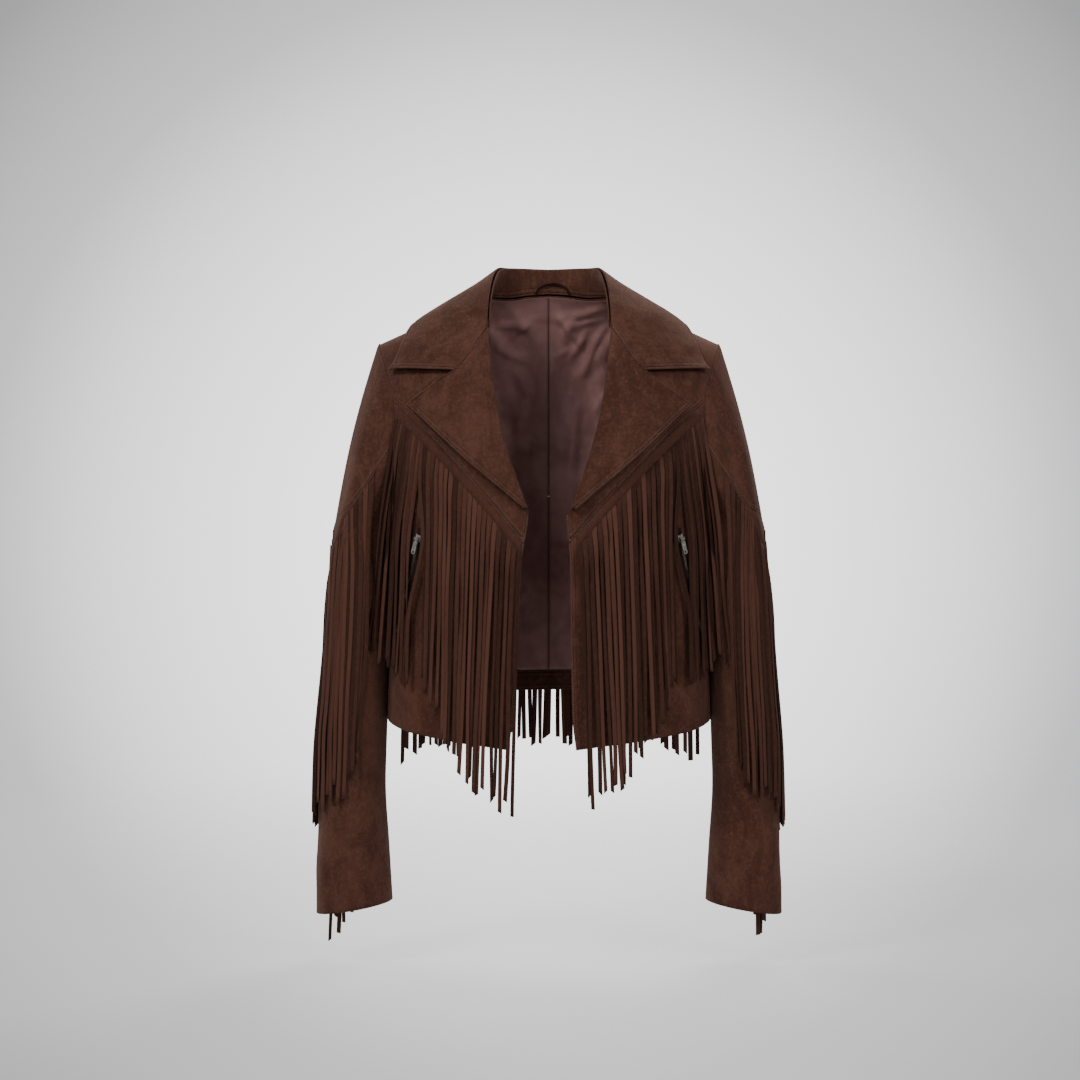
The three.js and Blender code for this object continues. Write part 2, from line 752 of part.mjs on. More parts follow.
const lapelAcross = [0, 0.07, 0.2, 0.45, 0.72, 1];
const lapelAlong = [0, 0.14, 0.3, 0.45, 0.59, lapelPointRun, 0.86, 1];
for (const [name, side] of sideNames) {
  const places = placesOn(lapelPlace(side), lapelAcross, lapelAlong);
  const rows = lapelAlong.length - 1;
  const columns = lapelAcross.length - 1;
  const fromGorge = new THREE.Vector3(side * (notchZ - gorgeZ), 0, gorgeX - notchX).setLength(gorgeGap);
  const point = (i, j) => {
    const at = places[j][i].at.clone();
    return j === rows ? at.add(fromGorge) : at;
  };
  const thickness = (i) => (i < 2 ? rollSuede : lapelSuede);
  const outer = (i, j) => point(i, j).addScaledVector(places[j][i].normal, i === 0 ? -1.2 : 0);
  const inner = (i, j) => point(i, j).addScaledVector(places[j][i].normal, -thickness(i));
  addPiece(`lapel_${name}`, wall(columns, rows, outer, inner), suedeFinish);
}

// Hanger loop: a narrow band that stands in an arch inside the neck.
const loopLean = 0.75;
const loop = { middleX: 4.5, halfSpan: 21, rise: 15, band: 3.4, thick: 1.4, foot: 61, columns: 12 };
const loopPoint = (i, j, depth) => {
  const turn = (Math.PI * i) / loop.columns;
  const radius = 1 - (j * loop.band) / loop.halfSpan;
  const x = loop.middleX - loop.halfSpan * radius * Math.cos(turn);
  const z = loop.foot + (loop.rise - j * loop.band) * Math.sin(turn);
  const neckY = bodyY(x, tableValue(backNeckline, 'height', Math.abs(x)), 1);
  const y = neckY - standSuede - loopLean - depth;
  return new THREE.Vector3(x, y, z);
};
const loopWall = wall(loop.columns, 1, (i, j) => loopPoint(i, j, loop.thick), (i, j) => loopPoint(i, j, 0));
addPiece('hanger_loop', loopWall, suedeFinish);

// Slanted pocket zips: a tape on each front, a slider at its upper end and a hinged pull tab.
const zip = {
  topX: 141, topZ: -212, bottomX: 171, bottomZ: -330,
  tapeWidth: 11, tapeThick: 1.1, tapeLift: 0.6, rows: 6,
};
const slider = { width: 7.2, length: 10, thick: 2.4, share: 0.09 };
const ear = { half: 1.8, inner: 1.7, thick: 1, top: 6.2 };
const pivot = { rise: 4.8, pinRadius: 0.7, holeRadius: 1.05, eyeRadius: 1.75, eyeHalf: 1.3 };
const tab = { half: 0.6, neckEnd: 3.2, length: 18, width: 5.4, overlap: 0.4 };

// Frame on a front at a share of the zip's length: across, up along the zip and outward.
function zipFrame(share, lift, side) {
  const spot = (s) => {
    const x = lerp(zip.topX, zip.bottomX, s);
    const z = lerp(zip.topZ, zip.bottomZ, s);
    return { at: bodyPoint(x, z, -1), normal: bodyNormal(x, z, -1) };
  };
  const { at, normal } = spot(share);
  const up = spot(share - 0.03).at.sub(spot(share + 0.03).at);
  const flip = new THREE.Vector3(side, 1, 1);
  const out = normal.multiply(flip).normalize();
  up.multiply(flip).addScaledVector(out, -up.dot(out)).normalize();
  const across = new THREE.Vector3().crossVectors(up, out).normalize();
  const origin = at.multiply(flip).addScaledVector(out, lift);
  return { across, up, out, origin };
}

function zipTape(side) {
  const point = (depth) => (i, j) => {
    const frame = zipFrame(j / zip.rows, zip.tapeLift + depth, side);
    return frame.origin.addScaledVector(frame.across, (i - 0.5) * zip.tapeWidth);
  };
  return wall(1, zip.rows, point(zip.tapeThick), point(0));
}

function manifoldOf(geometry) {
  const bare = geometry.clone();
  bare.deleteAttribute('normal');
  bare.deleteAttribute('uv');
  const merged = mergeVertices(bare, 1e-4);
  return new wasm.Manifold(new wasm.Mesh({
    numProp: 3,
    vertProperties: merged.attributes.position.array,
    triVerts: new Uint32Array(merged.index.array),
  }));
}

function geometryOf(solid) {
  const { vertProperties, triVerts } = solid.getMesh();
  const geometry = new THREE.BufferGeometry();
  geometry.setAttribute('position', new THREE.BufferAttribute(new Float32Array(vertProperties), 3));
  geometry.setIndex(new THREE.BufferAttribute(new Uint32Array(triVerts), 1));
  return geometry;
}

const block = (width, length, height, x, y, z) => manifoldOf(
  new THREE.BoxGeometry(width, length, height).translate(x, y, z),
);
const pin = (radius, length, sides) => manifoldOf(
  new THREE.CylinderGeometry(radius, radius, length, sides).rotateZ(rightAngle).translate(0, 0, pivot.rise),
);

// The slider is drawn with x across the zip, y up along it and z out of the cloth.
function sliderSolid() {
  const plate = new THREE.Shape();
  plate.moveTo(-slider.width / 2, slider.length / 2);
  plate.lineTo(-slider.width / 2, -slider.length * 0.1);
  plate.lineTo(-slider.width * 0.28, -slider.length / 2);
  plate.lineTo(slider.width * 0.28, -slider.length / 2);
  plate.lineTo(slider.width / 2, -slider.length * 0.1);
  plate.lineTo(slider.width / 2, slider.length / 2);
  plate.lineTo(0, slider.length * 0.38);
  let solid = manifoldOf(new THREE.ExtrudeGeometry(plate, { depth: slider.thick, bevelEnabled: false }));
  for (const way of [-1, 1]) {
    const x = way * (ear.inner + ear.thick / 2);
    const height = ear.top - slider.thick + tab.overlap;
    solid = solid.add(block(ear.thick, 2 * ear.half, height, x, 0, ear.top - height / 2));
  }
  return solid.add(pin(pivot.pinRadius, 2 * ear.inner + ear.thick, 8));
}

function tabSolid() {
  const eye = pin(pivot.eyeRadius, 2 * pivot.eyeHalf, 12);
  const neckLength = tab.neckEnd + tab.overlap;
  const neck = block(2 * pivot.eyeHalf, neckLength, 2 * tab.half, 0, -neckLength / 2, pivot.rise);
  const outline = new THREE.Shape();
  const foot = -(tab.length - tab.width / 2);
  outline.moveTo(-tab.width / 2, foot);
  outline.absarc(0, foot, tab.width / 2, Math.PI, 2 * Math.PI, false);
  outline.lineTo(tab.width / 2, -tab.neckEnd);
  outline.lineTo(-tab.width / 2, -tab.neckEnd);
  const slot = new THREE.Path();
  slot.absarc(0, foot, tab.width / 4, 0, 2 * Math.PI, true);
  outline.holes.push(slot);
  const bladeShape = { depth: 2 * tab.half, bevelEnabled: false, curveSegments: 6 };
  const blade = new THREE.ExtrudeGeometry(outline, bladeShape);
  blade.translate(0, 0, pivot.rise - tab.half);
  return eye.add(neck).add(manifoldOf(blade)).subtract(pin(pivot.holeRadius, 4 * pivot.eyeHalf, 12));
}

for (const [name, side] of sideNames) {
  addPiece(`zip_tape_${name}`, zipTape(side), tapeFinish);
  const lift = zip.tapeLift + zip.tapeThick + seamGap;
  const { across, up, out, origin } = zipFrame(slider.share, lift, side);
  const place = new THREE.Matrix4().makeBasis(across, up, out).setPosition(origin);
  addPiece(`zip_slider_${name}`, geometryOf(sliderSolid()).applyMatrix4(place), metalFinish);
  addPiece(`zip_pull_${name}`, geometryOf(tabSolid()).applyMatrix4(place), metalFinish);
}

// Fringe: strands cut from one strip of suede, which is sewn under a yoke seam. The strip
// and its strands are one comb, whose strands hang apart from each other.
const fringe = { thick: 1.2, lift: 0.5, stripDrop: 14, seamDrop: 1.5, hangGap: 1.6 };
const chestFringe = { strands: 27, first: 33, last: 169, width: 3.8 };
const backFringe = { strands: 46, reach: 163, width: 4.6, length: 292, sideExtra: 54, sway: 1.8 };
const backFlare = 0.06;
const sleeveFringe = { strands: 30, width: 4.6, lift: 0.9, extra: 2.2, spread: 0.4 };
const lowestSleeve = -640;

const chestHang = {
  columns: ['root', 'end', 'length'],
  rows: [
    [33, 45, 304],
    [52, 63, 321],
    [80, 91, 326],
    [105, 116, 318],
    [112, 123, 312],
    [126, 136, 288],
    [140, 149, 283],
    [169, 196, 286],
  ],
};

const zipParting = { push: 6, reach: 30, from: -150, full: -205, lift: 2.4 };
const sleeveFrontY = -64;
const sleeveSide = 4;
const crease = { reach: 16, y: -50 };

// The foremost cloth at a place on a front: the body, or beside it the sleeve.
function frontCloth(x, z) {
  const half = tableValue(bodySections, 'halfWidth', z);
  const body = x < half ? bodyY(x, z, -1) : 0;
  if (z > sleeveTopZ) {
    const atSleeve = x > armholeX(Math.max(z, underarmZ), -1) - sleeveSide;
    return atSleeve ? Math.min(body, sleeveFrontY) : body;
  }
  const [outer, inner, halfDepth, middleY] = ['outer', 'inner', 'halfDepth', 'middleY']
    .map((column) => tableValue(sleeveSections, column, z));
  const reach = (2 * x - outer - inner) / (outer - inner);
  const sleeve = Math.abs(reach) < 1 ? middleY - halfDepth * Math.sqrt(1 - reach ** 2) : 0;
  const between = x > half - crease.reach && x < inner + crease.reach ? crease.y : 0;
  const zipLift = z < zip.topZ ? zipParting.lift : 0;
  return Math.min(body, sleeve, between) - zipLift;
}

// Next point down a hanging strand: straight from the last one, clear of the cloth between.
function hang(from, x, z, face, clothY) {
  let y = clothY(x, z) + face * fringe.hangGap;
  const samples = 12;
  for (let n = samples / 3; n < samples; n += 1) {
    const s = n / samples;
    const clear = clothY(lerp(from.x, x, s), lerp(from.z, z, s)) + face * fringe.hangGap * s;
    const needed = (clear - (1 - s) * from.y) / s;
    y = face < 0 ? Math.min(y, needed) : Math.max(y, needed);
  }
  return new THREE.Vector3(x, y, z);
}

// One comb from its strands, each a list of levels with a middle, a side and an out vector.
function comb(strands, width) {
  const columns = 2 * strands.length - 1;
  const rows = strands[0].length - 1;
  const point = (depth) => (i, j) => {
    const { at, side, out } = strands[Math.floor(i / 2)][j];
    const half = i % 2 === 0 ? -width / 2 : width / 2;
    return at.clone().addScaledVector(side, half).addScaledVector(out, depth);
  };
  const filled = (i, j) => j === 0 || i % 2 === 0;
  return wall(columns, rows, point(fringe.thick), point(0), { filled });
}

function chestStrand(rootX, sideOfBody) {
  const seamX = armholeX(frontYokeArmZ, -1);
  const innerX = frontEdgeX(frontYokeEdgeZ, sideOfBody);
  const share = (rootX - innerX) / (seamX - innerX);
  const seamZ = frontSeam(share, sideOfBody)[1] - fringe.seamDrop;
  const length = tableValue(chestHang, 'length', rootX);
  const endX = tableValue(chestHang, 'end', rootX);
  const drops = [0, fringe.stripDrop, 55, 130, length];
  const levels = [];
  drops.forEach((drop, j) => {
    const z = seamZ - drop;
    let x = lerp(rootX, endX, j < 2 ? 0 : (drop / length) ** 0.8);
    const zipX = lerp(zip.topX, zip.bottomX, slider.share) + 3;
    const away = x - zipX;
    const parted = 1 - smoothstep(z, zipParting.full, zipParting.from);
    x += Math.sign(away) * zipParting.push * Math.exp(-Math.abs(away) / zipParting.reach) * parted;
    const at = j < 2
      ? bodyPoint(x, z, -1, fringe.lift)
      : hang(levels[j - 1].at, x, z, -1, frontCloth);
    const normal = bodyNormal(Math.min(x, 165), Math.max(z, -300), -1);
    const out = j < 2 ? normal : new THREE.Vector3(normal.x * 0.6, normal.y, 0).normalize();
    const side = new THREE.Vector3(-out.y, out.x, 0).normalize();
    levels.push({ at, side, out });
  });
  return levels;
}

function backStrand(rootX) {
  const seamZ = backSeam(rootX) - fringe.seamDrop;
  const share = Math.abs(rootX) / backFringe.reach;
  const length = backFringe.length + backFringe.sideExtra * share ** 2;
  const levels = [];
  [0, fringe.stripDrop, 90, 190, length].forEach((drop, j) => {
    const z = seamZ - drop;
    const sway = backFringe.sway * Math.sin(rootX / 9) * (drop / length) ** 2;
    const x = rootX * (1 + (j < 2 ? 0 : backFlare * drop / length)) + sway;
    const at = j < 2
      ? bodyPoint(x, z, 1, fringe.lift)
      : hang(levels[j - 1].at, x, z, 1, (out, height) => bodyY(out, height, 1));
    const normal = bodyNormal(x, z, 1);
    const out = j < 2 ? normal : new THREE.Vector3(normal.x, normal.y, 0).normalize();
    const side = new THREE.Vector3(out.y, -out.x, 0).normalize();
    levels.push({ at, side, out });
  });
  return levels;
}

const sleeveHang = {
  columns: ['hangAngle', 'rootAngle', 'length'],
  rows: [
    [-135, -103, 340],
    [-110, -90, 340],
    [-85, -74, 340],
    [-60, -58, 332],
    [-44, -42, 262],
    [-22, -21, 290],
    [0, 0, 340],
    [60, 58, 340],
    [88, 73, 340],
    [108, 88, 340],
  ],
};

function sleeveStrand(hangAngle, side) {
  const rootAngle = tableValue(sleeveHang, 'rootAngle', hangAngle);
  const seam = seamRun(rootAngle);
  const root = sleevePlace(rootAngle, seam, side);
  const length = tableValue(sleeveHang, 'length', hangAngle);
  const levels = [];
  [fringe.seamDrop, fringe.stripDrop + fringe.seamDrop, 70, 170, length].forEach((drop, j) => {
    const z = root.at.z - drop;
    const off = fringe.hangGap + sleeveFringe.extra + sleeveFringe.spread * j;
    const hung = sleeveSection(hangAngle, Math.max(z, lowestSleeve), side, off);
    hung.z = z;
    const ease = smoothstep(drop, 0, 90);
    let at = hung.clone().lerp(root.at.clone().setZ(z), 1 - ease);
    if (j < 2) {
      const run = seam + (drop / 150) * (seam < 1 ? 1 : 0.33);
      const place = sleevePlace(rootAngle, run, side);
      at = place.at.addScaledVector(place.normal, sleeveFringe.lift);
    }
    const turn = degToRad(lerp(rootAngle, hangAngle, ease));
    const out = new THREE.Vector3(side * Math.cos(turn), -Math.sin(turn), 0);
    const around = new THREE.Vector3(-out.y, out.x, 0).multiplyScalar(-side);
    levels.push({ at, side: around, out });
  });
  return levels;
}

for (const [name, side] of sideNames) {
  const flip = new THREE.Vector3(side, 1, 1);
  const chest = steps(chestFringe.strands - 1).map((s) => {
    const rootX = lerp(chestFringe.first, chestFringe.last, s);
    return chestStrand(rootX, side).map((level) => ({
      at: level.at.multiply(flip),
      side: level.side.multiply(flip),
      out: level.out.multiply(flip),
    }));
  });
  addPiece(`fringe_chest_${name}`, comb(chest, chestFringe.width), fringeFinish);
  const [first, last] = [sleeveHang.rows[0][0], sleeveHang.rows[sleeveHang.rows.length - 1][0]];
  const strands = steps(sleeveFringe.strands - 1).map((s) => sleeveStrand(lerp(first, last, s), side));
  addPiece(`fringe_sleeve_${name}`, comb(strands, sleeveFringe.width), fringeFinish);
}

const backStrands = steps(backFringe.strands - 1)
  .map((s) => backStrand(lerp(-backFringe.reach, backFringe.reach, s)));
addPiece('fringe_back', comb(backStrands, backFringe.width), fringeFinish);

export default jacket;
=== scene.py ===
import bpy
import numpy as np
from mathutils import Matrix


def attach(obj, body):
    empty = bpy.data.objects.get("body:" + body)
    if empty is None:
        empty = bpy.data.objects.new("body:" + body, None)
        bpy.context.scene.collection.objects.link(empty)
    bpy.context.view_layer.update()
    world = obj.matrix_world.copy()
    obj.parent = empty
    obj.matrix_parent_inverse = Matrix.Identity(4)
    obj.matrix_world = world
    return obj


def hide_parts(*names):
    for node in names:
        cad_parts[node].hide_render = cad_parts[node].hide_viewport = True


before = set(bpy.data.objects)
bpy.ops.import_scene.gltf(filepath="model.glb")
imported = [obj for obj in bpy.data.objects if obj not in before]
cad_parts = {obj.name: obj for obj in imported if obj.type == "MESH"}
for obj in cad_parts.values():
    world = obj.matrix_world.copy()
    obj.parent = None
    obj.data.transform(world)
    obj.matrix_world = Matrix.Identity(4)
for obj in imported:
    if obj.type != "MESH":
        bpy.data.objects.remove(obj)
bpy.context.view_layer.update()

# Worn form of the body: every panel, lapel, zip and fringe root lies on one surface, a squarish
# oval at each height that rounds over into the shoulder line. All its sizes are in millimetres,
# left and right are as seen from the front, and a front has face -1, the back face 1.
shoulder_x, shoulder_y = 197, 8
neck_x, neck_z = 72, 56
underarm_z = -183
front_yoke_arm_z, front_yoke_edge_z = -67, -229
back_yoke_arm_z, back_yoke_middle_z = -130, -172
lapel_bottom_z = -191
gorge_x, gorge_z = 69, 11
base_z = -480
half_turn = np.pi / 2

body_columns = ("height", "half_width", "front_depth", "back_depth")
body_rows = [
    (-480, 187, 106, 101),
    (-430, 185.5, 107, 99),
    (-360, 183, 109, 94),
    (-300, 181, 112, 91),
    (-240, 182, 115, 96),
    (-183, 184.8, 116, 102),
    (-110, 192, 113, 105),
    (-60, 199, 108, 103),
    (0, 203, 100, 97),
    (90, 205, 92, 92),
]
front_edge_columns = ("height", "left", "right")
front_edge_rows = [
    (-457, 45.5, 29.5),
    (-428, 41, 26),
    (-382, 37.5, 24.5),
    (-327, 34.5, 23.5),
    (-245, 30, 22.5),
    (-205, 23.5, 19),
    (-191, 23, 18.5),
]
roll_rows = [(-191, 23), (-170, 30.5), (-130, 44), (-88, 55), (-40, 63), (11, 69)]
neckline_rows = [(0, 62.5), (22, 60.5), (45, 57), (60, 56.6), (72, 56)]


def column_value(rows, column, key):
    """Smooth value of a table's column at a key: an S curve between two rows, bent so that it
    passes each row with the slope between that row's neighbours."""
    table = np.asarray(rows, float)
    keys, values = table[:, 0], table[:, column]
    last = len(table) - 1
    at = np.clip(key, keys[0], keys[last])
    i = np.clip(np.searchsorted(keys, at) - 1, 0, last - 1)
    before, after = np.maximum(np.arange(last + 1) - 1, 0), np.minimum(np.arange(last + 1) + 1, last)
    slope = (values[after] - values[before]) / (keys[after] - keys[before])
    span = keys[i + 1] - keys[i]
    s = (at - keys[i]) / span
    bend = slope[i] * s * (1 - s) ** 2 - slope[i + 1] * s * s * (1 - s)
    return values[i] + (values[i + 1] - values[i]) * s * s * (3 - 2 * s) + span * bend


def lerp(a, b, s):
    """Straight blend from a to b."""
    return a + (b - a) * s


def half_width(z):
    return column_value(body_rows, 1, z)


def shoulder_height(x):
    return neck_z - neck_z * (np.abs(x) - neck_x) / (shoulder_x - neck_x)


def body_y(x, z, face):
    """Depth of the body: the oval's depth times (1 - reach^2.5)^(1/2.5), drawn towards the
    shoulder line by the square root of 1 - rise^3."""
    depth = column_value(body_rows, 2 if face < 0 else 3, z)
    reach = np.minimum(np.abs(x) / half_width(z), 1)
    flat = face * depth * (1 - reach**2.5) ** 0.4
    rise = np.clip((z + 140) / (shoulder_height(x) + 140), 0, 1)
    return lerp(shoulder_y, flat, np.sqrt(1 - rise**3))


def body_normal(x, z, face):
    """Outward normal of the body, from small steps inward and down."""
    inward = np.where(x == 0, 0.1, -np.sign(x) * 0.1)
    y = body_y(x, z, face)
    slope_x = (body_y(x + inward, z, face) - y) / inward
    slope_z = (y - body_y(x, z - 0.1, face)) / 0.1
    normal = np.stack([-slope_x * face, face + 0 * y, -slope_z * face], -1)
    return normal / np.linalg.norm(normal, axis=-1, keepdims=True)


def to_body(x, z):
    """A place's turn round the body and its share of the way up to the shoulder line."""
    turn = np.arcsin(np.clip(x / half_width(z), -1, 1))
    return turn, (z - base_z) / (shoulder_height(x) - base_z)


def from_body(place):
    """Distance out and height of such a place, by closing in on them six times."""
    turn, up = place
    z = base_z * (1 - up)
    for _ in range(6):
        x = half_width(z) * np.sin(turn)
        z = lerp(base_z, shoulder_height(x), up)
    return x, z


def coons(bottom, top, start, end):
    """Patch between four edge curves: both straight blends less the blend of the corners."""

    def patch(u, v):
        corners = [curve(s) for curve in (bottom, top) for s in (0.0, 1.0)]
        place = []
        for k in range(2):
            across = lerp(bottom(u)[k], top(u)[k], v)
            along = lerp(start(v)[k], end(v)[k], u)
            low = lerp(corners[0][k], corners[1][k], u)
            high = lerp(corners[2][k], corners[3][k], u)
            place.append(across + along - lerp(low, high, v))
        return place

    return patch


# Creases of the body: soft ridges and troughs, each along a line on a front or the back. Height
# is how far it stands out, or in where it is negative, and width its reach to each side.
crease_columns = ("x", "z", "end_x", "end_z", "height", "width")
front_creases = [
    (178, -178, 96, -262, 5.0, 17),
    (181, -205, 120, -330, -4.0, 14),
    (176, -238, 88, -408, 4.5, 19),
    (150, -300, 66, -452, -3.5, 16),
    (96, -330, 84, -470, 3.5, 15),
    (52, -300, 50, -470, -2.6, 12),
    (168, -360, 140, -470, 3.8, 15),
    (150, -60, 118, -150, -3.0, 14),
    (112, -45, 74, -170, 2.6, 16),
    (174, -96, 132, -190, 3.4, 13),
    (-176, -182, -88, -250, 4.6, 16),
    (-181, -212, -132, -318, -3.6, 13),
    (-178, -250, -98, -396, 5.0, 20),
    (-146, -318, -78, -456, -4.0, 15),
    (-100, -345, -92, -470, 3.2, 14),
    (-60, -290, -60, -470, -2.4, 13),
    (-170, -350, -150, -470, 3.4, 14),
    (-152, -64, -112, -160, -2.8, 15),
    (-108, -50, -80, -160, 2.8, 15),
    (-172, -102, -128, -186, 3.0, 12),
]
back_creases = [
    (-178, -150, -96, -232, 5.0, 17),
    (178, -156, 104, -226, 4.6, 16),
    (-170, -196, -64, -300, -4.0, 16),
    (172, -200, 58, -312, -4.4, 17),
    (-120, -60, -60, -196, 3.4, 20),
    (124, -66, 52, -188, 3.0, 19),
    (-8, -70, -14, -250, -2.8, 18),
    (28, -230, 20, -440, 3.6, 19),
    (-62, -260, -70, -450, 3.2, 17),
    (96, -280, 110, -450, -3.4, 16),
    (-128, -270, -136, -450, -3.2, 15),
    (148, -300, 156, -450, 3.4, 15),
    (-30, -320, -22, -450, -2.6, 14),
]
zip_top, zip_bottom = (141, -212), (171, -330)


def crease_height(x, z, rows):
    """Sum of the creases: each has a rounded profile across its line and fades to its ends."""
    height = np.zeros(np.broadcast(x, z).shape)
    for start_x, start_z, end_x, end_z, rise, width in rows:
        length = np.hypot(end_x - start_x, end_z - start_z)
        along_x, along_z = (end_x - start_x) / length, (end_z - start_z) / length
        along = ((x - start_x) * along_x + (z - start_z) * along_z) / length
        across = -(x - start_x) * along_z + (z - start_z) * along_x
        wander = 0.35 * width * np.sin(4.2 * along + start_x)
        reach = np.clip(along, 0, 1)
        past = (along - reach) * length
        profile = np.exp(-(((across - wander) / width) ** 2) - (past / width) ** 2)
        height += rise * profile * (0.35 + 0.65 * np.sin(np.pi * np.clip(reach, 0.08, 0.92)))
    return height


def seam_distance(x, z, line):
    """Shortest distance from a place to a straight line between two places."""
    (x0, z0), (x1, z1) = line
    s = np.clip(((x - x0) * (x1 - x0) + (z - z0) * (z1 - z0)) / ((x1 - x0) ** 2 + (z1 - z0) ** 2), 0, 1)
    return np.hypot(x - lerp(x0, x1, s), z - lerp(z0, z1, s))


def body_crease(x, z, face):
    """How far the worn cloth stands out of the plain form: least round a pocket zip."""
    rows = front_creases if face < 0 else back_creases
    height = crease_height(x, z, rows)
    if face < 0:
        beside = seam_distance(np.abs(x), z, (zip_top, zip_bottom))
        height = height * (1 - np.exp(-((beside / 26) ** 4)))
    edge = np.clip((shoulder_height(x) - z) / 70, 0, 1) * np.clip((shoulder_x - np.abs(x)) / 14, 0, 1)
    edge = edge * np.clip((half_width(z) - np.abs(x)) / 12, 0, 1)
    return np.clip(height, -3.2, 5.5) * edge


def on_body(place, face, out=0.0, side=1):
    """Point and normal on the creased body, moved out along the normal."""
    x, z = from_body(place)
    normal = body_normal(x, z, face)
    point = np.stack([x, body_y(x, z, face), z], -1)
    point = point + normal * (out + body_crease(x * side, z, face))[..., None]
    flip = np.array([side, 1, 1])
    return point * flip, normal * flip


def unit(vectors):
    return vectors / np.maximum(np.linalg.norm(vectors, axis=-1, keepdims=True), 1e-9)


def grid_normals(points, ring=False):
    """Normals of a grid: cross product of the steps between neighbours along rows and columns."""
    if ring:
        along = np.roll(points, -1, 1) - np.roll(points, 1, 1)
    else:
        along = np.gradient(points, axis=1)
    return unit(np.cross(along, np.gradient(points, axis=0)))


def grid_faces(rows, columns, first, ring=False):
    """Corner numbers of a grid's quads, row by row."""
    count = columns if ring else columns - 1
    j, i = np.meshgrid(np.arange(rows - 1), np.arange(count), indexing="ij")
    right = (i + 1) % columns
    quads = [j * columns + i, j * columns + right, (j + 1) * columns + right, (j + 1) * columns + i]
    return np.stack(quads, -1).reshape(-1, 4) + first


def rim_rings(rows, columns, ring):
    """Index loops along the open edges of a grid: one all round, or two where it is a tube."""
    if ring:
        return [np.arange(columns), np.arange(columns)[::-1] + (rows - 1) * columns]
    top, bottom = np.arange(columns), (rows - 1) * columns + np.arange(columns)[::-1]
    right = (np.arange(rows) * columns + columns - 1)[1:]
    left = (np.arange(rows) * columns)[::-1][1:-1]
    return [np.concatenate([top, right, bottom[1:], left])]


def make_mesh(name, vertices, faces, marks=None):
    """Mesh object from points in millimetres, with its normals turned outward by its volume."""
    corners = vertices[faces[:, [0, 1, 2]]]
    others = vertices[faces[:, [0, 2, 3]]]
    volume = sum((np.cross(c[:, 0], c[:, 1]) * c[:, 2]).sum() for c in (corners, others))
    if volume < 0:
        faces = faces[:, ::-1]
    mesh = bpy.data.meshes.new(name)
    mesh.from_pydata((vertices * 0.001).tolist(), [], faces.tolist())
    mesh.polygons.foreach_set("use_smooth", np.ones(len(faces), bool))
    for mark, values in (marks or {}).items():
        layer = mesh.attributes.new(mark, "FLOAT", "POINT")
        layer.data.foreach_set("value", np.asarray(values, np.float32))
    mesh.update()
    piece = bpy.data.objects.new(name, mesh)
    bpy.context.collection.objects.link(piece)
    return piece


def cloth(name, points, thickness, outward, edges="all", ring=False, marks=None):
    """Closed sheet of cloth from its outer face: the inner face lies a thickness in, and the cut
    edge between them is rounded by two rings. `near` marks how far a point is from the edges
    that are sewn, in millimetres along the cloth."""
    rows, columns = points.shape[:2]
    normals = grid_normals(points, ring)
    if (normals * outward(points)).sum() < 0:
        normals = -normals
    down = np.concatenate([np.zeros((1, columns)), np.cumsum(np.linalg.norm(np.diff(points, axis=0), axis=-1), 0)])
    over = np.concatenate([np.zeros((rows, 1)), np.cumsum(np.linalg.norm(np.diff(points, axis=1), axis=-1), 1)], 1)
    sides = {"top": down, "bottom": down[-1:] - down, "start": over, "end": over[:, -1:] - over}
    if edges == "all":
        edges = ("top", "bottom") if ring else ("top", "bottom", "start", "end")
    near = np.min([sides[edge] for edge in edges], 0) if edges else np.full((rows, columns), 99.0)
    flat_points, flat_normals = points.reshape(-1, 3), normals.reshape(-1, 3)
    thick = np.broadcast_to(thickness, (rows, columns)).reshape(-1, 1)
    vertices = [flat_points.copy(), flat_points - flat_normals * thick]
    count = rows * columns
    faces = [grid_faces(rows, columns, 0, ring), grid_faces(rows, columns, count, ring)[:, ::-1]]
    rounding = 0.32 * thick
    first = 2 * count
    extra = []
    inward = np.zeros((rows, columns, 3))
    inward[0] += unit(points[1] - points[0])
    inward[-1] += unit(points[-2] - points[-1])
    if not ring:
        inward[:, 0] += unit(points[:, 1] - points[:, 0])
        inward[:, -1] += unit(points[:, -2] - points[:, -1])
    pull = inward.reshape(-1, 3) * rounding
    for loop in rim_rings(rows, columns, ring):
        size = len(loop)
        steps = np.arange(size)
        following = (steps + 1) % size
        upper = flat_points[loop] - flat_normals[loop] * rounding[loop]
        lower = flat_points[loop] - flat_normals[loop] * (thick - rounding)[loop]
        vertices[0][loop] += pull[loop]
        vertices[1][loop] += pull[loop]
        vertices += [upper, lower]
        rings = [loop, first + steps, first + size + steps, loop + count]
        for a, b in zip(rings, rings[1:]):
            faces.append(np.stack([a[following], a[steps], b[steps], b[following]], -1))
        extra += [loop, loop]
        first += 2 * size
    picked = np.concatenate([np.arange(count), np.arange(count), *extra])
    values = {"near": near.reshape(-1)[picked]}
    for mark, grid in (marks or {}).items():
        values[mark] = np.asarray(grid, float).reshape(-1)[picked]
    piece = make_mesh(name, np.concatenate(vertices), np.concatenate(faces), values)
    piece["cloth_area"] = float(
        np.linalg.norm(
            np.cross(
                points[1:, 1:] - points[:-1, :-1],
                points[1:, :-1] - points[:-1, 1:],
            ),
            axis=-1,
        ).sum()
        * 0.5e-6
    )
    return piece


def hang(piece, nodes):
    """Hides the CAD parts that a cut piece of cloth replaces and hangs the piece from the root body. Its flat area is
    measured in cloth(), from its own outer face.
    """
    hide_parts(*nodes)
    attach(piece, "root")


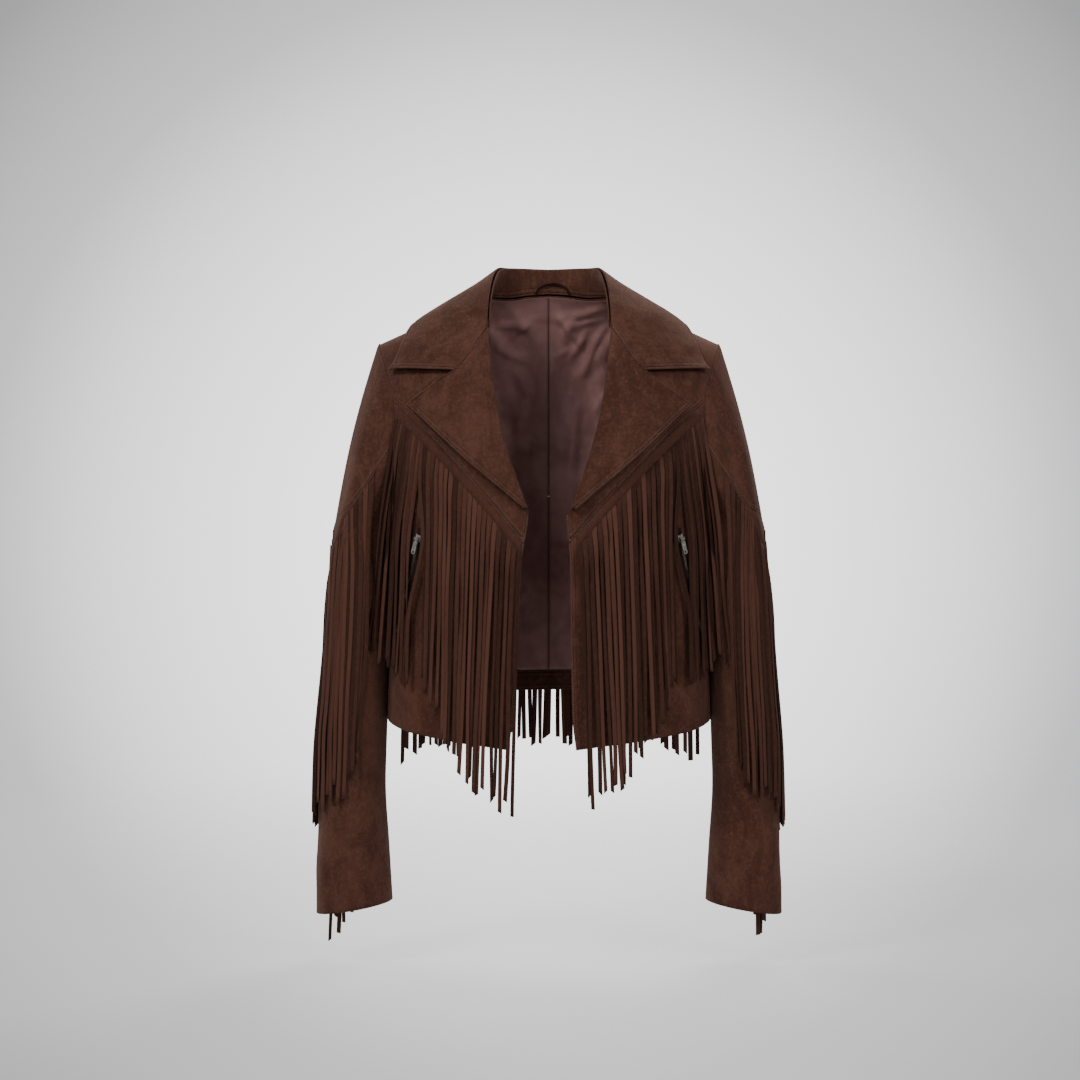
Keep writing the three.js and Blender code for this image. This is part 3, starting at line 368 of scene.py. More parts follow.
class Wire:
    """A shader socket. Arithmetic on it adds Math nodes, so a pattern reads as a formula."""

    def __init__(self, finish, socket):
        self.finish, self.socket = finish, socket

    def maths(self, operation, *others):
        inputs = {0: self}
        for k, other in enumerate(others):
            inputs[k + 1] = other
        return self.finish.node("ShaderNodeMath", {"operation": operation}, inputs)

    def __add__(self, other):
        return self.maths("ADD", other)

    __radd__ = __add__

    def __mul__(self, other):
        return self.maths("MULTIPLY", other)

    __rmul__ = __mul__

    def __sub__(self, other):
        return self.maths("SUBTRACT", other)

    def __rsub__(self, other):
        return (self * -1) + other

    def __truediv__(self, other):
        return self.maths("DIVIDE", other)

    def __pow__(self, other):
        return self.maths("POWER", other)

    def hump(self, middle, width):
        """A smooth hump: one at the middle, falling to nothing about twice the width away."""
        return (((self - middle) / width) ** 2 * -1).maths("EXPONENT")

    def ramp(self, low, high):
        """Smooth step from zero at low to one at high."""
        settings = {"interpolation_type": "SMOOTHSTEP"}
        return self.finish.node("ShaderNodeMapRange", settings, {0: self, 1: low, 2: high})


class Finish:
    """A material: node() adds a node, with its settings first and its inputs by name or number."""

    def __init__(self, name):
        self.material = bpy.data.materials.new(name)
        self.material.use_nodes = True
        self.tree = self.material.node_tree
        self.skin = self.tree.nodes["Principled BSDF"]

    def put(self, socket, value):
        if isinstance(value, Wire):
            self.tree.links.new(value.socket, socket)
        else:
            socket.default_value = value

    def node(self, kind, settings=None, inputs=None, output=0):
        made = self.tree.nodes.new(kind)
        for key, value in (settings or {}).items():
            if key == "stops":
                for stop, (place, colour) in zip(made.color_ramp.elements, value):
                    stop.position, stop.color = place, (*colour, 1)
            else:
                setattr(made, key, value)
        for key, value in (inputs or {}).items():
            self.put(made.inputs[key], value)
        return Wire(self, made.outputs[output])

    def shell(self, **inputs):
        for key, value in inputs.items():
            self.put(self.skin.inputs[key.replace("_", " ")], value)

    def noise(self, scale, detail=2.0, roughness=0.5, vector=None, distortion=0.0):
        vector = vector or self.node("ShaderNodeTexCoord", output=3)
        inputs = {"Vector": vector, "Scale": scale, "Detail": detail, "Roughness": roughness}
        return self.node("ShaderNodeTexNoise", None, inputs | {"Distortion": distortion})

    def mark(self, name):
        return self.node("ShaderNodeAttribute", {"attribute_name": name}, output=2)

    def stretched(self, x, y, z):
        place = self.node("ShaderNodeTexCoord", output=3)
        return self.node("ShaderNodeMapping", None, {"Vector": place, "Scale": (x, y, z)})

    def mix(self, share, low, high):
        """Blend of two colours."""
        settings = {"data_type": "RGBA"}
        return self.node("ShaderNodeMix", settings, {0: share, 6: low, 7: high}, output=2)

    def bump(self, height, strength, distance):
        inputs = {"Height": height, "Strength": strength, "Distance": distance}
        return self.node("ShaderNodeBump", None, inputs)


def suede_finish(name, deep, middle, light, sewn=True):
    """Brushed suede: soft clouds where the nap lies over, fine mottling, a short pile, and along a
    sewn edge pressed grooves with painted shade in them, an edge paler partly from rubbing and partly
    as a painted highlight, and a faint painted highlight on the raised ridge between the grooves."""
    finish = Finish(name)
    clouds = finish.noise(8.0, 4.0, 0.6, distortion=0.8)
    strokes = finish.noise(34.0, 4.0, 0.65, finish.stretched(1.0, 1.0, 0.5), 1.4)
    mottle = finish.noise(260.0, 5.0, 0.75)
    pile = finish.noise(1500.0, 3.0, 0.8)
    tone = clouds * 0.42 + strokes * 0.36 + mottle * 0.22
    colour = finish.mix(tone.ramp(0.38, 0.62), (*deep, 1), (*middle, 1))
    # Paler where the nap is rubbed at random; painted highlights along sewn edges are added to this below.
    rubbed_and_edge_highlight = (mottle * 0.55 + strokes * 0.2 + pile * 0.25).ramp(0.46, 0.68) * 0.5
    height = pile * 0.5 + mottle * 0.9 + strokes * 0.8
    if sewn:
        near = finish.mark("near")
        # Painted shade: the colour is darkened in the pressed grooves at 2.0 and 7.2 mm from the edge; their height
        # below is a real bump.
        groove_and_shade = near.hump(2.0, 0.7) + near.hump(7.2, 0.6) * 0.45
        # Paler at the very edge partly from rubbing and partly as a painted highlight, and faintly paler on the raised
        # ridge at 4.4 mm as a painted highlight.
        rubbed_and_edge_highlight = rubbed_and_edge_highlight + near.hump(0.0, 0.9) * 0.3 + near.hump(4.4, 1.4) * 0.08
        colour = finish.mix(groove_and_shade * 0.3, colour, (*[c * 0.45 for c in deep], 1))
        height = height - groove_and_shade * 1.6 + near.hump(4.4, 1.4) * 0.4
    colour = finish.mix(rubbed_and_edge_highlight, colour, (*light, 1))
    finish.shell(
        Base_Color=colour,
        Roughness=mottle * 0.1 + 0.9,
        Normal=finish.bump(height, 0.7, 0.0011),
        Sheen_Weight=0.16,
        Sheen_Roughness=0.4,
        Sheen_Tint=(0.9, 0.55, 0.42, 1.0),
        Specular_IOR_Level=0.1,
    )
    return finish.material


suede_deep = (0.050, 0.0195, 0.0128)
suede_middle = (0.090, 0.037, 0.0248)
suede_light = (0.132, 0.064, 0.046)
suede = suede_finish("brushed suede", suede_deep, suede_middle, suede_light)


# Front yokes and fronts: four panels of brown suede, 1.8 mm thick. Each yoke runs from the
# shoulder down to a slanting seam, where the front is sewn on, and the front goes on down to the
# hem. Both are cut separately on the left and the right, whose front edges hang differently.
suede_thick = 1.8
seam_half = 0.15
side_hem_z, front_hem_z, back_hem_z = -426, -457, -402
arm_rows_front, arm_rows_back, side_rows = 5, 4, 6
facing_depth = 30


def arm_edge_x(z, face):
    """Edge of an armhole: a straight line up to the shoulder point, scooped in between."""
    s = np.clip((z - underarm_z) / -underarm_z, 0, 1)
    scoop = 18 if face < 0 else 10
    return lerp(half_width(underarm_z), shoulder_x, s) - scoop * np.sin(np.pi * s) ** 0.8


def arm_seam_z(s, face):
    top = front_yoke_arm_z if face < 0 else back_yoke_arm_z
    return underarm_z + (top - underarm_z) * (1 - s) ** 2


def ease(v):
    return 1 - (1 - v) ** 2


def front_edge_x(z, side):
    return column_value(front_edge_rows, 1 if side < 0 else 2, z)


def yoke_inner_x(z, side):
    """Inner edge of a front yoke: the front edge, then the roll line, then the neck seam."""
    roll = column_value(roll_rows, 1, z)
    neck = lerp(gorge_x, neck_x, (z - gorge_z) / (neck_z - gorge_z))
    return np.where(z < lapel_bottom_z, front_edge_x(z, side), np.where(z < gorge_z, roll, neck))


def front_seam(u, side):
    """Yoke seam of a front: a straight line from front edge to armhole, bowed up by 6 mm."""
    x = lerp(front_edge_x(front_yoke_edge_z, side), arm_edge_x(front_yoke_arm_z, -1), u)
    return x, lerp(front_yoke_edge_z, front_yoke_arm_z, u) + 6 * np.sin(np.pi * u)


def back_seam_z(x):
    share = np.abs(x) / arm_edge_x(back_yoke_arm_z, 1)
    return lerp(back_yoke_middle_z, back_yoke_arm_z, share**1.3)


def front_yoke_patch(side):
    def shoulder(u):
        x = lerp(neck_x, shoulder_x, u)
        return to_body(x, shoulder_height(x))

    def inner(v):
        z = lerp(front_yoke_edge_z, neck_z, ease(v))
        return to_body(yoke_inner_x(z, side), z)

    def arm(v):
        z = lerp(front_yoke_arm_z, 0, ease(v))
        return to_body(arm_edge_x(z, -1), z)

    return coons(lambda u: to_body(*front_seam(u, side)), shoulder, inner, arm)


def row_height(row, rows, top, hem):
    """Heights of evenly spaced rows, the last as deep as the hem facing."""
    even = lerp(top, hem + facing_depth, row / (rows - 1))
    return np.where(row > rows - 1, lerp(hem + facing_depth, hem, row - rows + 1), even)


def outer_edge(v, arm_rows, face, side=1):
    """Outer edge of a lower panel: down the armhole, then down the side seam."""
    row = np.asarray(v, float) * (arm_rows + side_rows)
    arm_z = arm_seam_z(np.clip(row / arm_rows, 0, 1), face)
    turn_arm, up_arm = to_body(side * arm_edge_x(arm_z, face), arm_z)
    side_z = row_height(np.maximum(row - arm_rows, 0), side_rows, underarm_z, side_hem_z)
    up_side = to_body(half_width(side_z), side_z)[1]
    beside = row < arm_rows
    return np.where(beside, turn_arm, side * half_turn), np.where(beside, up_arm, up_side)


def front_patch(side):
    def hem(u):
        z = lerp(front_hem_z, side_hem_z, u)
        turn = lerp(to_body(front_edge_x(front_hem_z, side), front_hem_z)[0], half_turn, u)
        return turn, to_body(half_width(z) * np.sin(turn), z)[1]

    def inner(v):
        rows = arm_rows_front + side_rows
        z = row_height(np.asarray(v, float) * rows, rows, front_yoke_edge_z, front_hem_z)
        return to_body(front_edge_x(z, side), z)

    return coons(
        lambda u: to_body(*front_seam(u, side)), hem, inner, lambda v: outer_edge(v, arm_rows_front, -1)
    )


def spread(columns, rows):
    """Even shares across and down a grid."""
    return np.meshgrid(np.linspace(0, 1, columns + 1), np.linspace(0, 1, rows + 1))


def trimmed(points, gap=seam_half):
    """The grid with each edge drawn in by half a seam's gap."""
    moved = points.copy()
    moved[0] += unit(points[1] - points[0]) * gap
    moved[-1] += unit(points[-2] - points[-1]) * gap
    moved[:, 0] += unit(points[:, 1] - points[:, 0]) * gap
    moved[:, -1] += unit(points[:, -2] - points[:, -1]) * gap
    return moved


def from_body_axis(points):
    """Direction away from the body's upright axis."""
    return unit(points * np.array([1, 1, 0]))


def body_panel(name, patch, face, side, columns, rows, edges, thickness=suede_thick, out=0.0, gap=seam_half):
    u, v = spread(columns, rows)
    points, _ = on_body(patch(u, v), face, out, side)
    return cloth(name, trimmed(points, gap), thickness, from_body_axis, edges)


sides = (("left", -1), ("right", 1))
for label, side in sides:
    yoke = body_panel(
        f"front_yoke_{label}", front_yoke_patch(side), -1, side, 66, 72, ("top", "start")
    )
    yoke.data.materials.append(suede)
    hang(yoke, [f"yoke_front_{label}"])
    front = body_panel(f"front_panel_{label}", front_patch(side), -1, side, 60, 96, ("start",))
    front.data.materials.append(suede)
    hang(front, [f"front_{label}"])


# Back yoke and back: two panels of the same suede across both sides. The yoke's seam is lowest
# in the middle, and the back ends in a hem that is cut higher than the fronts.
def back_top(u):
    """Upper edge of the back: along a shoulder, round the neck and along the other shoulder."""
    away = np.abs(u - 0.5)
    neck_half = 0.5 - 5 / 18
    inside = neck_x * np.minimum(away, neck_half) / neck_half
    x = np.where(away <= neck_half, inside, lerp(neck_x, shoulder_x, (away - neck_half) * 18 / 5))
    z = np.where(away <= neck_half, column_value(neckline_rows, 1, inside), shoulder_height(x))
    return np.sign(u - 0.5) * x, z


def back_seam_place(u):
    x = lerp(-1, 1, u) * arm_edge_x(back_yoke_arm_z, 1)
    return to_body(x, back_seam_z(x))


def back_yoke_edge(side):
    def edge(v):
        z = lerp(back_yoke_arm_z, 0, ease(v))
        return to_body(side * arm_edge_x(z, 1), z)

    return edge


def back_hem(u):
    turn = lerp(-half_turn, half_turn, u)
    z = lerp(back_hem_z, side_hem_z, (turn / half_turn) ** 2)
    return turn, to_body(half_width(z) * np.sin(turn), z)[1]


back_yoke_patch = coons(
    back_seam_place, lambda u: to_body(*back_top(u)), back_yoke_edge(-1), back_yoke_edge(1)
)
back_patch = coons(
    back_seam_place,
    back_hem,
    lambda v: outer_edge(v, arm_rows_back, 1, -1),
    lambda v: outer_edge(v, arm_rows_back, 1, 1),
)
back_yoke = body_panel("back_yoke", back_yoke_patch, 1, 1, 132, 70, ("top",))
back_yoke.data.materials.append(suede)
hang(back_yoke, ["yoke_back"])
back = body_panel("back_panel", back_patch, 1, 1, 120, 84, ())
back.data.materials.append(suede)
hang(back, ["back"])


# Lining: mauve brown satin inside each front and in two halves across the back, sewn together
# down the middle. It stops above the hem, and at the front it stops beside the suede facing.
lining_thick = 0.9
lining_out = -2.9
lining_creases = [
    (-58, 30, -18, 26, -4.0, 4.5),
    (-52, 12, -20, 34, -3.4, 4.0),
    (-60, 2, -26, -12, -3.4, 4.5),
    (-50, -14, -20, -52, -4.5, 6),
    (-36, -60, -34, -120, -3.6, 6),
    (14, 34, 38, 10, -3.8, 3.5),
    (36, 42, 70, 46, -4.4, 4.5),
    (30, 30, 62, 34, -3.0, 3.5),
    (66, 26, 40, -24, -5.0, 4.0),
    (44, 22, 26, -10, -3.2, 3.5),
    (4, -8, 26, 0, -2.6, 3.0),
    (-22, -100, 4, -104, -2.6, 4.0),
    (-24, -126, -2, -146, -3.4, 4.5),
    (36, -70, 24, -140, -3.6, 6),
    (-86, 38, -28, -18, -4.2, 7),
    (-70, 22, -44, -70, -3.6, 9),
    (-40, 44, -12, 6, -3.0, 6),
    (88, 34, 40, -30, -4.6, 8),
    (72, 8, 58, -88, -4.0, 9),
    (34, 42, 14, 4, -2.8, 6),
    (-104, -40, -30, -150, -5.0, 12),
    (100, -52, 34, -170, -5.4, 13),
    (-22, -30, -34, -210, -3.6, 9),
    (20, -60, 34, -250, -3.8, 10),
    (-84, -160, -20, -300, -5.0, 13),
    (84, -170, 22, -290, -4.6, 12),
    (-46, -240, -30, -396, -4.0, 10),
    (40, -260, 26, -396, -4.2, 11),
    (-14, -300, -8, -396, -2.8, 8),
    (-130, -230, -70, -396, -4.4, 14),
    (126, -240, 84, -396, -4.0, 13),
]


def satin_ripple(x, z, seed):
    """Small slack of thin satin: seeded short creases added up, each with its own slant."""
    rng = np.random.default_rng(seed)
    rows = []
    for _ in range(46):
        start = rng.uniform((-180, -400), (180, 50))
        slant, length = rng.normal(0, 0.7), rng.uniform(24, 80)
        end = start + length * np.array([np.sin(slant), -np.cos(slant)])
        rows.append((*start, *end, -rng.uniform(1.0, 2.8), rng.uniform(3.0, 6.0)))
    return crease_height(x, z, rows)


def satin_finish():
    """Satin: a mauve brown that clouds a little, with a fine cross weave, a soft gloss and painted shade along its sewn
    edges.
    """
    finish = Finish("mauve satin")
    clouds = finish.noise(14.0, 3.0, 0.55, distortion=0.8)
    stain = finish.noise(55.0, 2.0, 0.6)
    place = finish.node("ShaderNodeTexCoord", output=3)
    warp = finish.node(
        "ShaderNodeTexWave", {"bands_direction": "X"}, {"Vector": place, "Scale": 420.0, "Distortion": 0.6}
    )
    weft = finish.node(
        "ShaderNodeTexWave", {"bands_direction": "Z"}, {"Vector": place, "Scale": 620.0, "Distortion": 0.6}
    )
    share = (clouds * 0.7 + stain * 0.3).ramp(0.35, 0.68)
    colour = finish.mix(share, (0.200, 0.094, 0.086, 1), (0.300, 0.158, 0.146, 1))
    near = finish.mark("near")
    # Painted shade: the satin is darkened within about 2 mm of its sewn edges, where the seams turn in.
    colour = finish.mix(near.hump(0.0, 1.6) * 0.5, colour, (0.085, 0.040, 0.036, 1))
    height = warp * 0.5 + weft * 0.3 - near.hump(1.2, 0.9) * 1.6
    finish.shell(
        Base_Color=colour,
        Roughness=stain * 0.12 + 0.46,
        Normal=finish.bump(height, 0.28, 0.0005),
        Sheen_Weight=0.08,
        Sheen_Roughness=0.3,
        Specular_IOR_Level=0.34,
    )
    return finish.material


satin = satin_finish()


def lining_panel(name, yoke, lower, face, side, u_range, rows_below, seed):
    """Rows of the panel below, from above the hem facing up, then the rows of its yoke."""
    u = np.linspace(*u_range, 64)
    below, above = np.linspace(rows_below, 0, 72), np.linspace(0, 1, 60)[1:]
    places = [yoke(*np.meshgrid(u, above)), lower(*np.meshgrid(u, below))]
    place = [np.concatenate([places[1][k], places[0][k]]) for k in range(2)]
    points, normals = on_body(place, face, lining_out, side)
    x, z = points[..., 0], points[..., 2]
    wrinkles = satin_ripple(x, z, seed)
    if face > 0:
        wrinkles = wrinkles + crease_height(x, z, lining_creases)
    v = np.linspace(0, 1, len(points))[:, None]
    across = np.linspace(0, 1, len(u))[None, :]
    held = np.clip(np.minimum(v, 1 - v) * 14, 0, 1) * np.clip(np.minimum(across, 1 - across) * 10, 0, 1)
    points = points + normals * (np.clip(wrinkles, -9, 0) * held)[..., None]
    return cloth(name, trimmed(points, 0.3), lining_thick, from_body_axis)


for label, side in sides:
    lining = lining_panel(
        f"front_lining_{label}", front_yoke_patch(side), front_patch(side), -1, side, (1 / 9, 1), 10 / 11, 5
    )
    lining.data.materials.append(satin)
    hang(lining, [f"lining_front_{label}"])
for label, u_range in (("left", (0, 0.5)), ("right", (0.5, 1))):
    lining = lining_panel(f"back_lining_{label}", back_yoke_patch, back_patch, 1, 1, u_range, 0.9, 8)
    lining.data.materials.append(satin)
    hang(lining, [f"lining_back_{label}"])


# Hem facing: a strip of suede sewn inside the hem of the back, below the lining.
u, v = np.meshgrid(np.linspace(0, 1, 121), np.linspace(0.9, 1, 9))
points, _ = on_body(back_patch(u, v), 1, -2.3)
facing = cloth("back_hem_facing", trimmed(points), 1.2, from_body_axis)
facing.data.materials.append(suede)
hang(facing, ["hem_facing_back"])


# Sleeves: an upper yoke that ends in a slanting seam, lowest at the back, and a sleeve below it
# that is closed all round. They hang nearly straight, a little bent at the elbow, to an open cuff.
sleeve_top_z, cuff_outer_z, cuff_inner_z = -200, -650, -635
sleeve_columns = ("height", "outer", "inner", "half_depth", "middle_y")
sleeve_rows = [
    (-650, 266, 178, 42, -12),
    (-570, 265, 183, 46, -10),
    (-510, 264, 187, 49, -8),
    (-450, 262, 185.9, 52, -6),
    (-400, 258, 184.2, 54, -5),
    (-340, 254, 182.0, 57, -4),
    (-275, 251, 181.1, 60, -3),
    (-240, 248, 181.8, 61, -2),
    (-200, 244.5, 184.2, 62, -1),
]
sleeve_seam_rows = [
    (-116, 0.04),
    (-98, 0.42),
    (-80, 0.98),
    (-62, 1.32),
    (-45, 1.3),
    (-20, 1.14),
    (0, 1.05),
    (30, 1.0),
    (60, 0.92),
    (73, 0.8),
    (90, 0.46),
    (102, 0.04),
]
# Here x of a crease is the way round the sleeve, 0.85 mm for each degree from its outer side.
sleeve_creases = [
    (52, -40, 66, -190, -3.4, 9),
    (36, -60, 44, -230, 2.6, 12),
    (-40, -60, -52, -230, -3.0, 12),
    (96, -215, 10, -262, 3.4, 11),
    (104, -250, 20, -318, -3.2, 11),
    (110, -290, 30, -345, 3.4, 12),
    (118, -335, 40, -372, -3.0, 10),
    (116, -372, 36, -428, 3.2, 13),
    (-100, -300, -34, -356, 3.0, 12),
    (-108, -352, -28, -398, -3.0, 12),
    (-112, -398, -30, -452, 3.0, 13),
    (92, -440, 66, -560, 2.4, 14),
    (26, -470, 14, -590, -2.2, 14),
    (-62, -470, -78, -590, 2.4, 15),
    (60, -560, 84, -640, -2.0, 12),
    (-20, -560, -12, -640, 1.8, 13),
]


def armhole_point(angle, side):
    """Edge of an armhole by angle: 0 is the shoulder, 90 the front and 180 under the arm."""
    turn = np.radians(angle)
    z = underarm_z / 2 * (1 - np.cos(turn))
    wrapped = np.mod(angle, 360)
    ends = []
    for face in (-1, 1):
        x = arm_edge_x(z, face)
        ends.append(on_body(to_body(x, z), face, 0.0, side)[0])
    point = np.where((wrapped <= 180)[..., None], ends[0], ends[1])
    return point + np.array([side * 0.3, 0, 0])


def sleeve_section(angle, z, side, out=0.0):
    """Level oval of a sleeve, from its outer and inner sides, depth and middle."""
    turn = np.radians(angle)
    outer, inner, depth, middle_y = (column_value(sleeve_rows, k, z) for k in (1, 2, 3, 4))
    x = (outer + inner) / 2 + ((outer - inner) / 2 + out) * np.cos(turn)
    return np.stack([side * x, middle_y - (depth + out) * np.sin(turn), z + 0 * x], -1)


def cuff_z(angle):
    return lerp(cuff_inner_z, cuff_outer_z, (1 + np.cos(np.radians(angle))) / 2)


def sleeve_point(angle, run, side):
    """Run 0 to 1 blends from the armhole to the oval at its foot, bulged a little, and run 1 to 2
    goes down through the ovals to the slanted cuff."""
    turn = np.radians(angle)
    z = lerp(sleeve_top_z, cuff_z(angle), np.maximum(run - 1, 0))
    hung = sleeve_section(angle, z, side)
    around = np.sqrt((1 + np.cos(turn)) / 2 + 0.35 * np.sin(turn) ** 2)
    bulge = 4.5 * around * np.sin(np.pi * np.clip(run, 0, 1))
    outward = np.stack([side * np.cos(turn), -np.sin(turn), 0 * turn], -1)
    top = sleeve_section(angle, sleeve_top_z + 0 * z, side)
    cap = lerp(armhole_point(angle, side), top, np.clip(run, 0, 1)[..., None]) + outward * bulge[..., None]
    return np.where((run >= 1)[..., None], hung, cap)


def sleeve_ridge(angle, z, side):
    """Height of the creases, least towards the body: both sleeves have the same, moved a little."""
    wrapped = np.mod(angle + 180, 360) - 180
    inner = np.clip((150 - np.abs(wrapped)) / 40, 0, 1)
    return np.clip(crease_height(0.85 * wrapped + side * 3, z + side * 9, sleeve_creases), -3.5, 4.0) * inner


def sleeve_surface(angle, run, side, out=0.0):
    """The sleeve with its creases."""
    point = sleeve_point(angle, run, side)
    turn = np.radians(angle)
    outward = np.stack([side * np.cos(turn), -np.sin(turn), 0 * turn], -1)
    free = np.clip(run * 3, 0, 1) * np.clip((2 - run) * 7 + 0.25, 0, 1)
    return point + outward * (sleeve_ridge(angle, point[..., 2], side) * free + out)[..., None]


def seam_run(angle):
    return column_value(sleeve_seam_rows, 1, angle)


def arm_angle(z):
    return np.degrees(np.arccos(np.clip(1 - 2 * z / underarm_z, -1, 1)))


back_seam_angle = -float(arm_angle(back_yoke_arm_z))
front_seam_angle = float(arm_angle(arm_seam_z(0.2, -1)))


def from_sleeve_axis(side):
    def outward(points):
        middle_x = (column_value(sleeve_rows, 1, points[..., 2]) + column_value(sleeve_rows, 2, points[..., 2])) / 2
        return unit(points - np.stack([side * middle_x, 0 * middle_x, points[..., 2] - 6], -1))

    return outward


def tucked(points, side):
    """The first row drawn back into the armhole, just under the edge of the body."""
    along = unit(np.gradient(points[0], axis=0))
    away = points[1] - points[0]
    away = unit(away - along * (away * along).sum(-1, keepdims=True))
    points[0] = points[0] - away * 2.6 - from_body_axis(points[0]) * 0.9
    return points


for label, side in sides:
    angle, v = np.meshgrid(np.linspace(back_seam_angle, front_seam_angle, 81), np.linspace(0, 1, 73))
    points = sleeve_surface(angle, v * seam_run(angle), side)
    upper = cloth(f"sleeve_top_{label}", tucked(trimmed(points), side), suede_thick, from_sleeve_axis(side), ("top",))
    upper.data.materials.append(suede)
    hang(upper, [f"sleeve_yoke_{label}"])
    around = np.concatenate(
        [np.linspace(back_seam_angle, front_seam_angle, 73), np.linspace(front_seam_angle, 360 + back_seam_angle, 49)[1:-1]]
    )
    angle, v = np.meshgrid(around, np.linspace(0, 1, 109))
    start = np.where(angle > front_seam_angle, 0.0, seam_run(angle))
    points = sleeve_surface(angle, lerp(start, 2, v), side)
    joined = np.where((angle[0] > front_seam_angle)[:, None], tucked(points.copy(), side)[0], points[0])
    points[0] = np.where((angle[0] > front_seam_angle)[:, None], joined, points[0] + unit(points[1] - points[0]) * 0.15)
    lower = cloth(f"sleeve_{label}_cloth", points, suede_thick, from_sleeve_axis(side), (), ring=True)
    lower.data.materials.append(suede)
    hang(lower, [f"sleeve_{label}"])


# Collar: a wide suede leaf folded over a stand, with long points over the shoulders. The stand
# rises from the neck seam inside it, and a narrow loop for hanging is sewn to the stand.
fold_columns = ("run", "out", "back", "height")
fold_rows = [
    (0, 69, -78, 11),
    (0.25, 68.5, -50, 47),
    (0.45, 65, -14, 75),
    (0.65, 59, 20, 91),
    (0.8, 44, 46, 94),
    (1, 0, 61, 94),
]
outer_rows = [
    (0, 176, -57, -34),
    (0.25, 170, -33, -2),
    (0.45, 157, 8, 26),
    (0.65, 138, 50, 18),
    (0.8, 92, 76, 18),
    (1, 0, 91, 22),
]
leaf_thick, leaf_lift, leaf_clear, fold_rise = 2.2, 5.6, 5.2, 5
notch_x, notch_z, notch_share = 102, -38, 0.36
edge_suede = suede_finish("suede with one stitched edge", suede_deep, suede_middle, suede_light)


def curve_point(rows, run, side):
    x, y, z = (column_value(rows, k, run) for k in (1, 2, 3))
    return np.stack([side * x, y, z], -1)


def lifted(x, z, face, out, side=1):
    """A point over the creased body at a distance out and a height."""
    z = z + 0 * x
    normal = body_normal(x, z, face)
    point = np.stack([x, body_y(x, z, face), z], -1)
    crease = body_crease(side * x, z, face)
    return (point + normal * (out + crease)[..., None]) * np.array([1, 1, 1])


def collar_end(v, side):
    """The gorge seam to the notch, then the lower edge of the collar out to its tip."""
    tip = curve_point(outer_rows, 0.0, 1)
    first, second = np.clip(v / notch_share, 0, 1), np.clip((v - notch_share) / (1 - notch_share), 0, 1)
    x = np.where(v < notch_share, lerp(gorge_x, notch_x, first), lerp(notch_x, tip[0], second))
    z = np.where(v < notch_share, lerp(gorge_z, notch_z, first), lerp(notch_z, tip[2], second))
    mirrored = np.stack([side, 1 + 0 * side, 1 + 0 * side], -1)
    return lifted(x, z, -1, leaf_lift + 5.0 * second) * mirrored


def leaf_point(u, v):
    """Arch from the fold line to the outer edge with one control point between, drawn to the
    collar's end near the front and held clear of the body below it."""
    side = np.where(u < 0.5, -1.0, 1.0)
    run = 1 - np.abs(2 * u - 1)

    def bent(share):
        start, end = curve_point(fold_rows, share, side), curve_point(outer_rows, share, side)
        middle = start + (end - start) * 0.42 + np.array([0, 0, fold_rise])
        w = v[..., None]
        return start * (1 - w) ** 2 + middle * 2 * w * (1 - w) + end * w * w

    corner = np.maximum(0, 1 - run / 0.22) ** 2
    point = bent(run) + (collar_end(v, side) - bent(0 * run)) * corner[..., None]
    x, y, z = point[..., 0], point[..., 1], point[..., 2]
    over = (shoulder_height(x) - z > 1) & (np.abs(x) < shoulder_x) & (run > 0)
    face_back = y >= shoulder_y
    crease_front = np.maximum(body_crease(x, z, -1), 0)
    crease_back = np.maximum(body_crease(x, z, 1), 0)
    front_y = np.minimum(y, body_y(x, z, -1) - leaf_clear - crease_front)
    back_y = np.maximum(y, body_y(x, z, 1) + leaf_clear + crease_back)
    return np.stack([x, np.where(over, np.where(face_back, back_y, front_y), y), z], -1)


leaf_waves = [
    (60, 30, 120, 118, 1.6, 16),
    (150, 20, 176, 120, -1.4, 18),
    (236, 30, 246, 122, 1.3, 20),
    (330, 25, 316, 122, 1.2, 22),
    (400, 30, 384, 120, -1.3, 18),
    (500, 26, 440, 118, 1.7, 16),
    (40, 60, 90, 66, -1.0, 12),
    (520, 58, 470, 70, -1.1, 12),
]
u, v = np.meshgrid(np.linspace(0, 1, 181), np.concatenate([np.linspace(0, 0.36, 19), np.linspace(0.36, 1, 33)[1:]]))
points = leaf_point(u, v)
over_neck = unit(np.stack([points[..., 0], points[..., 1], np.maximum(points[..., 2], 0) * 0.5 + 25], -1))
normals = grid_normals(points)
normals *= np.sign((normals * over_neck).sum(-1))[..., None]
wave = crease_height(560 * u, 125 * v, leaf_waves)
curl = 1.1 * np.clip((v - 0.86) / 0.14, 0, 1) ** 2
points = points + normals * ((np.maximum(wave, -1.2) + 1.0) * np.sin(np.pi * np.clip(v, 0, 1)) ** 0.7 - curl)[..., None]


def over_collar(points):
    return unit(np.stack([points[..., 0], points[..., 1], np.maximum(points[..., 2], 0) * 0.5 + 25], -1))


leaf = cloth("collar_leaf_suede", trimmed(points), leaf_thick, over_collar, ("bottom", "start", "end"))
leaf.data.materials.append(edge_suede)
hang(leaf, ["collar_leaf"])
leaf_grid = points


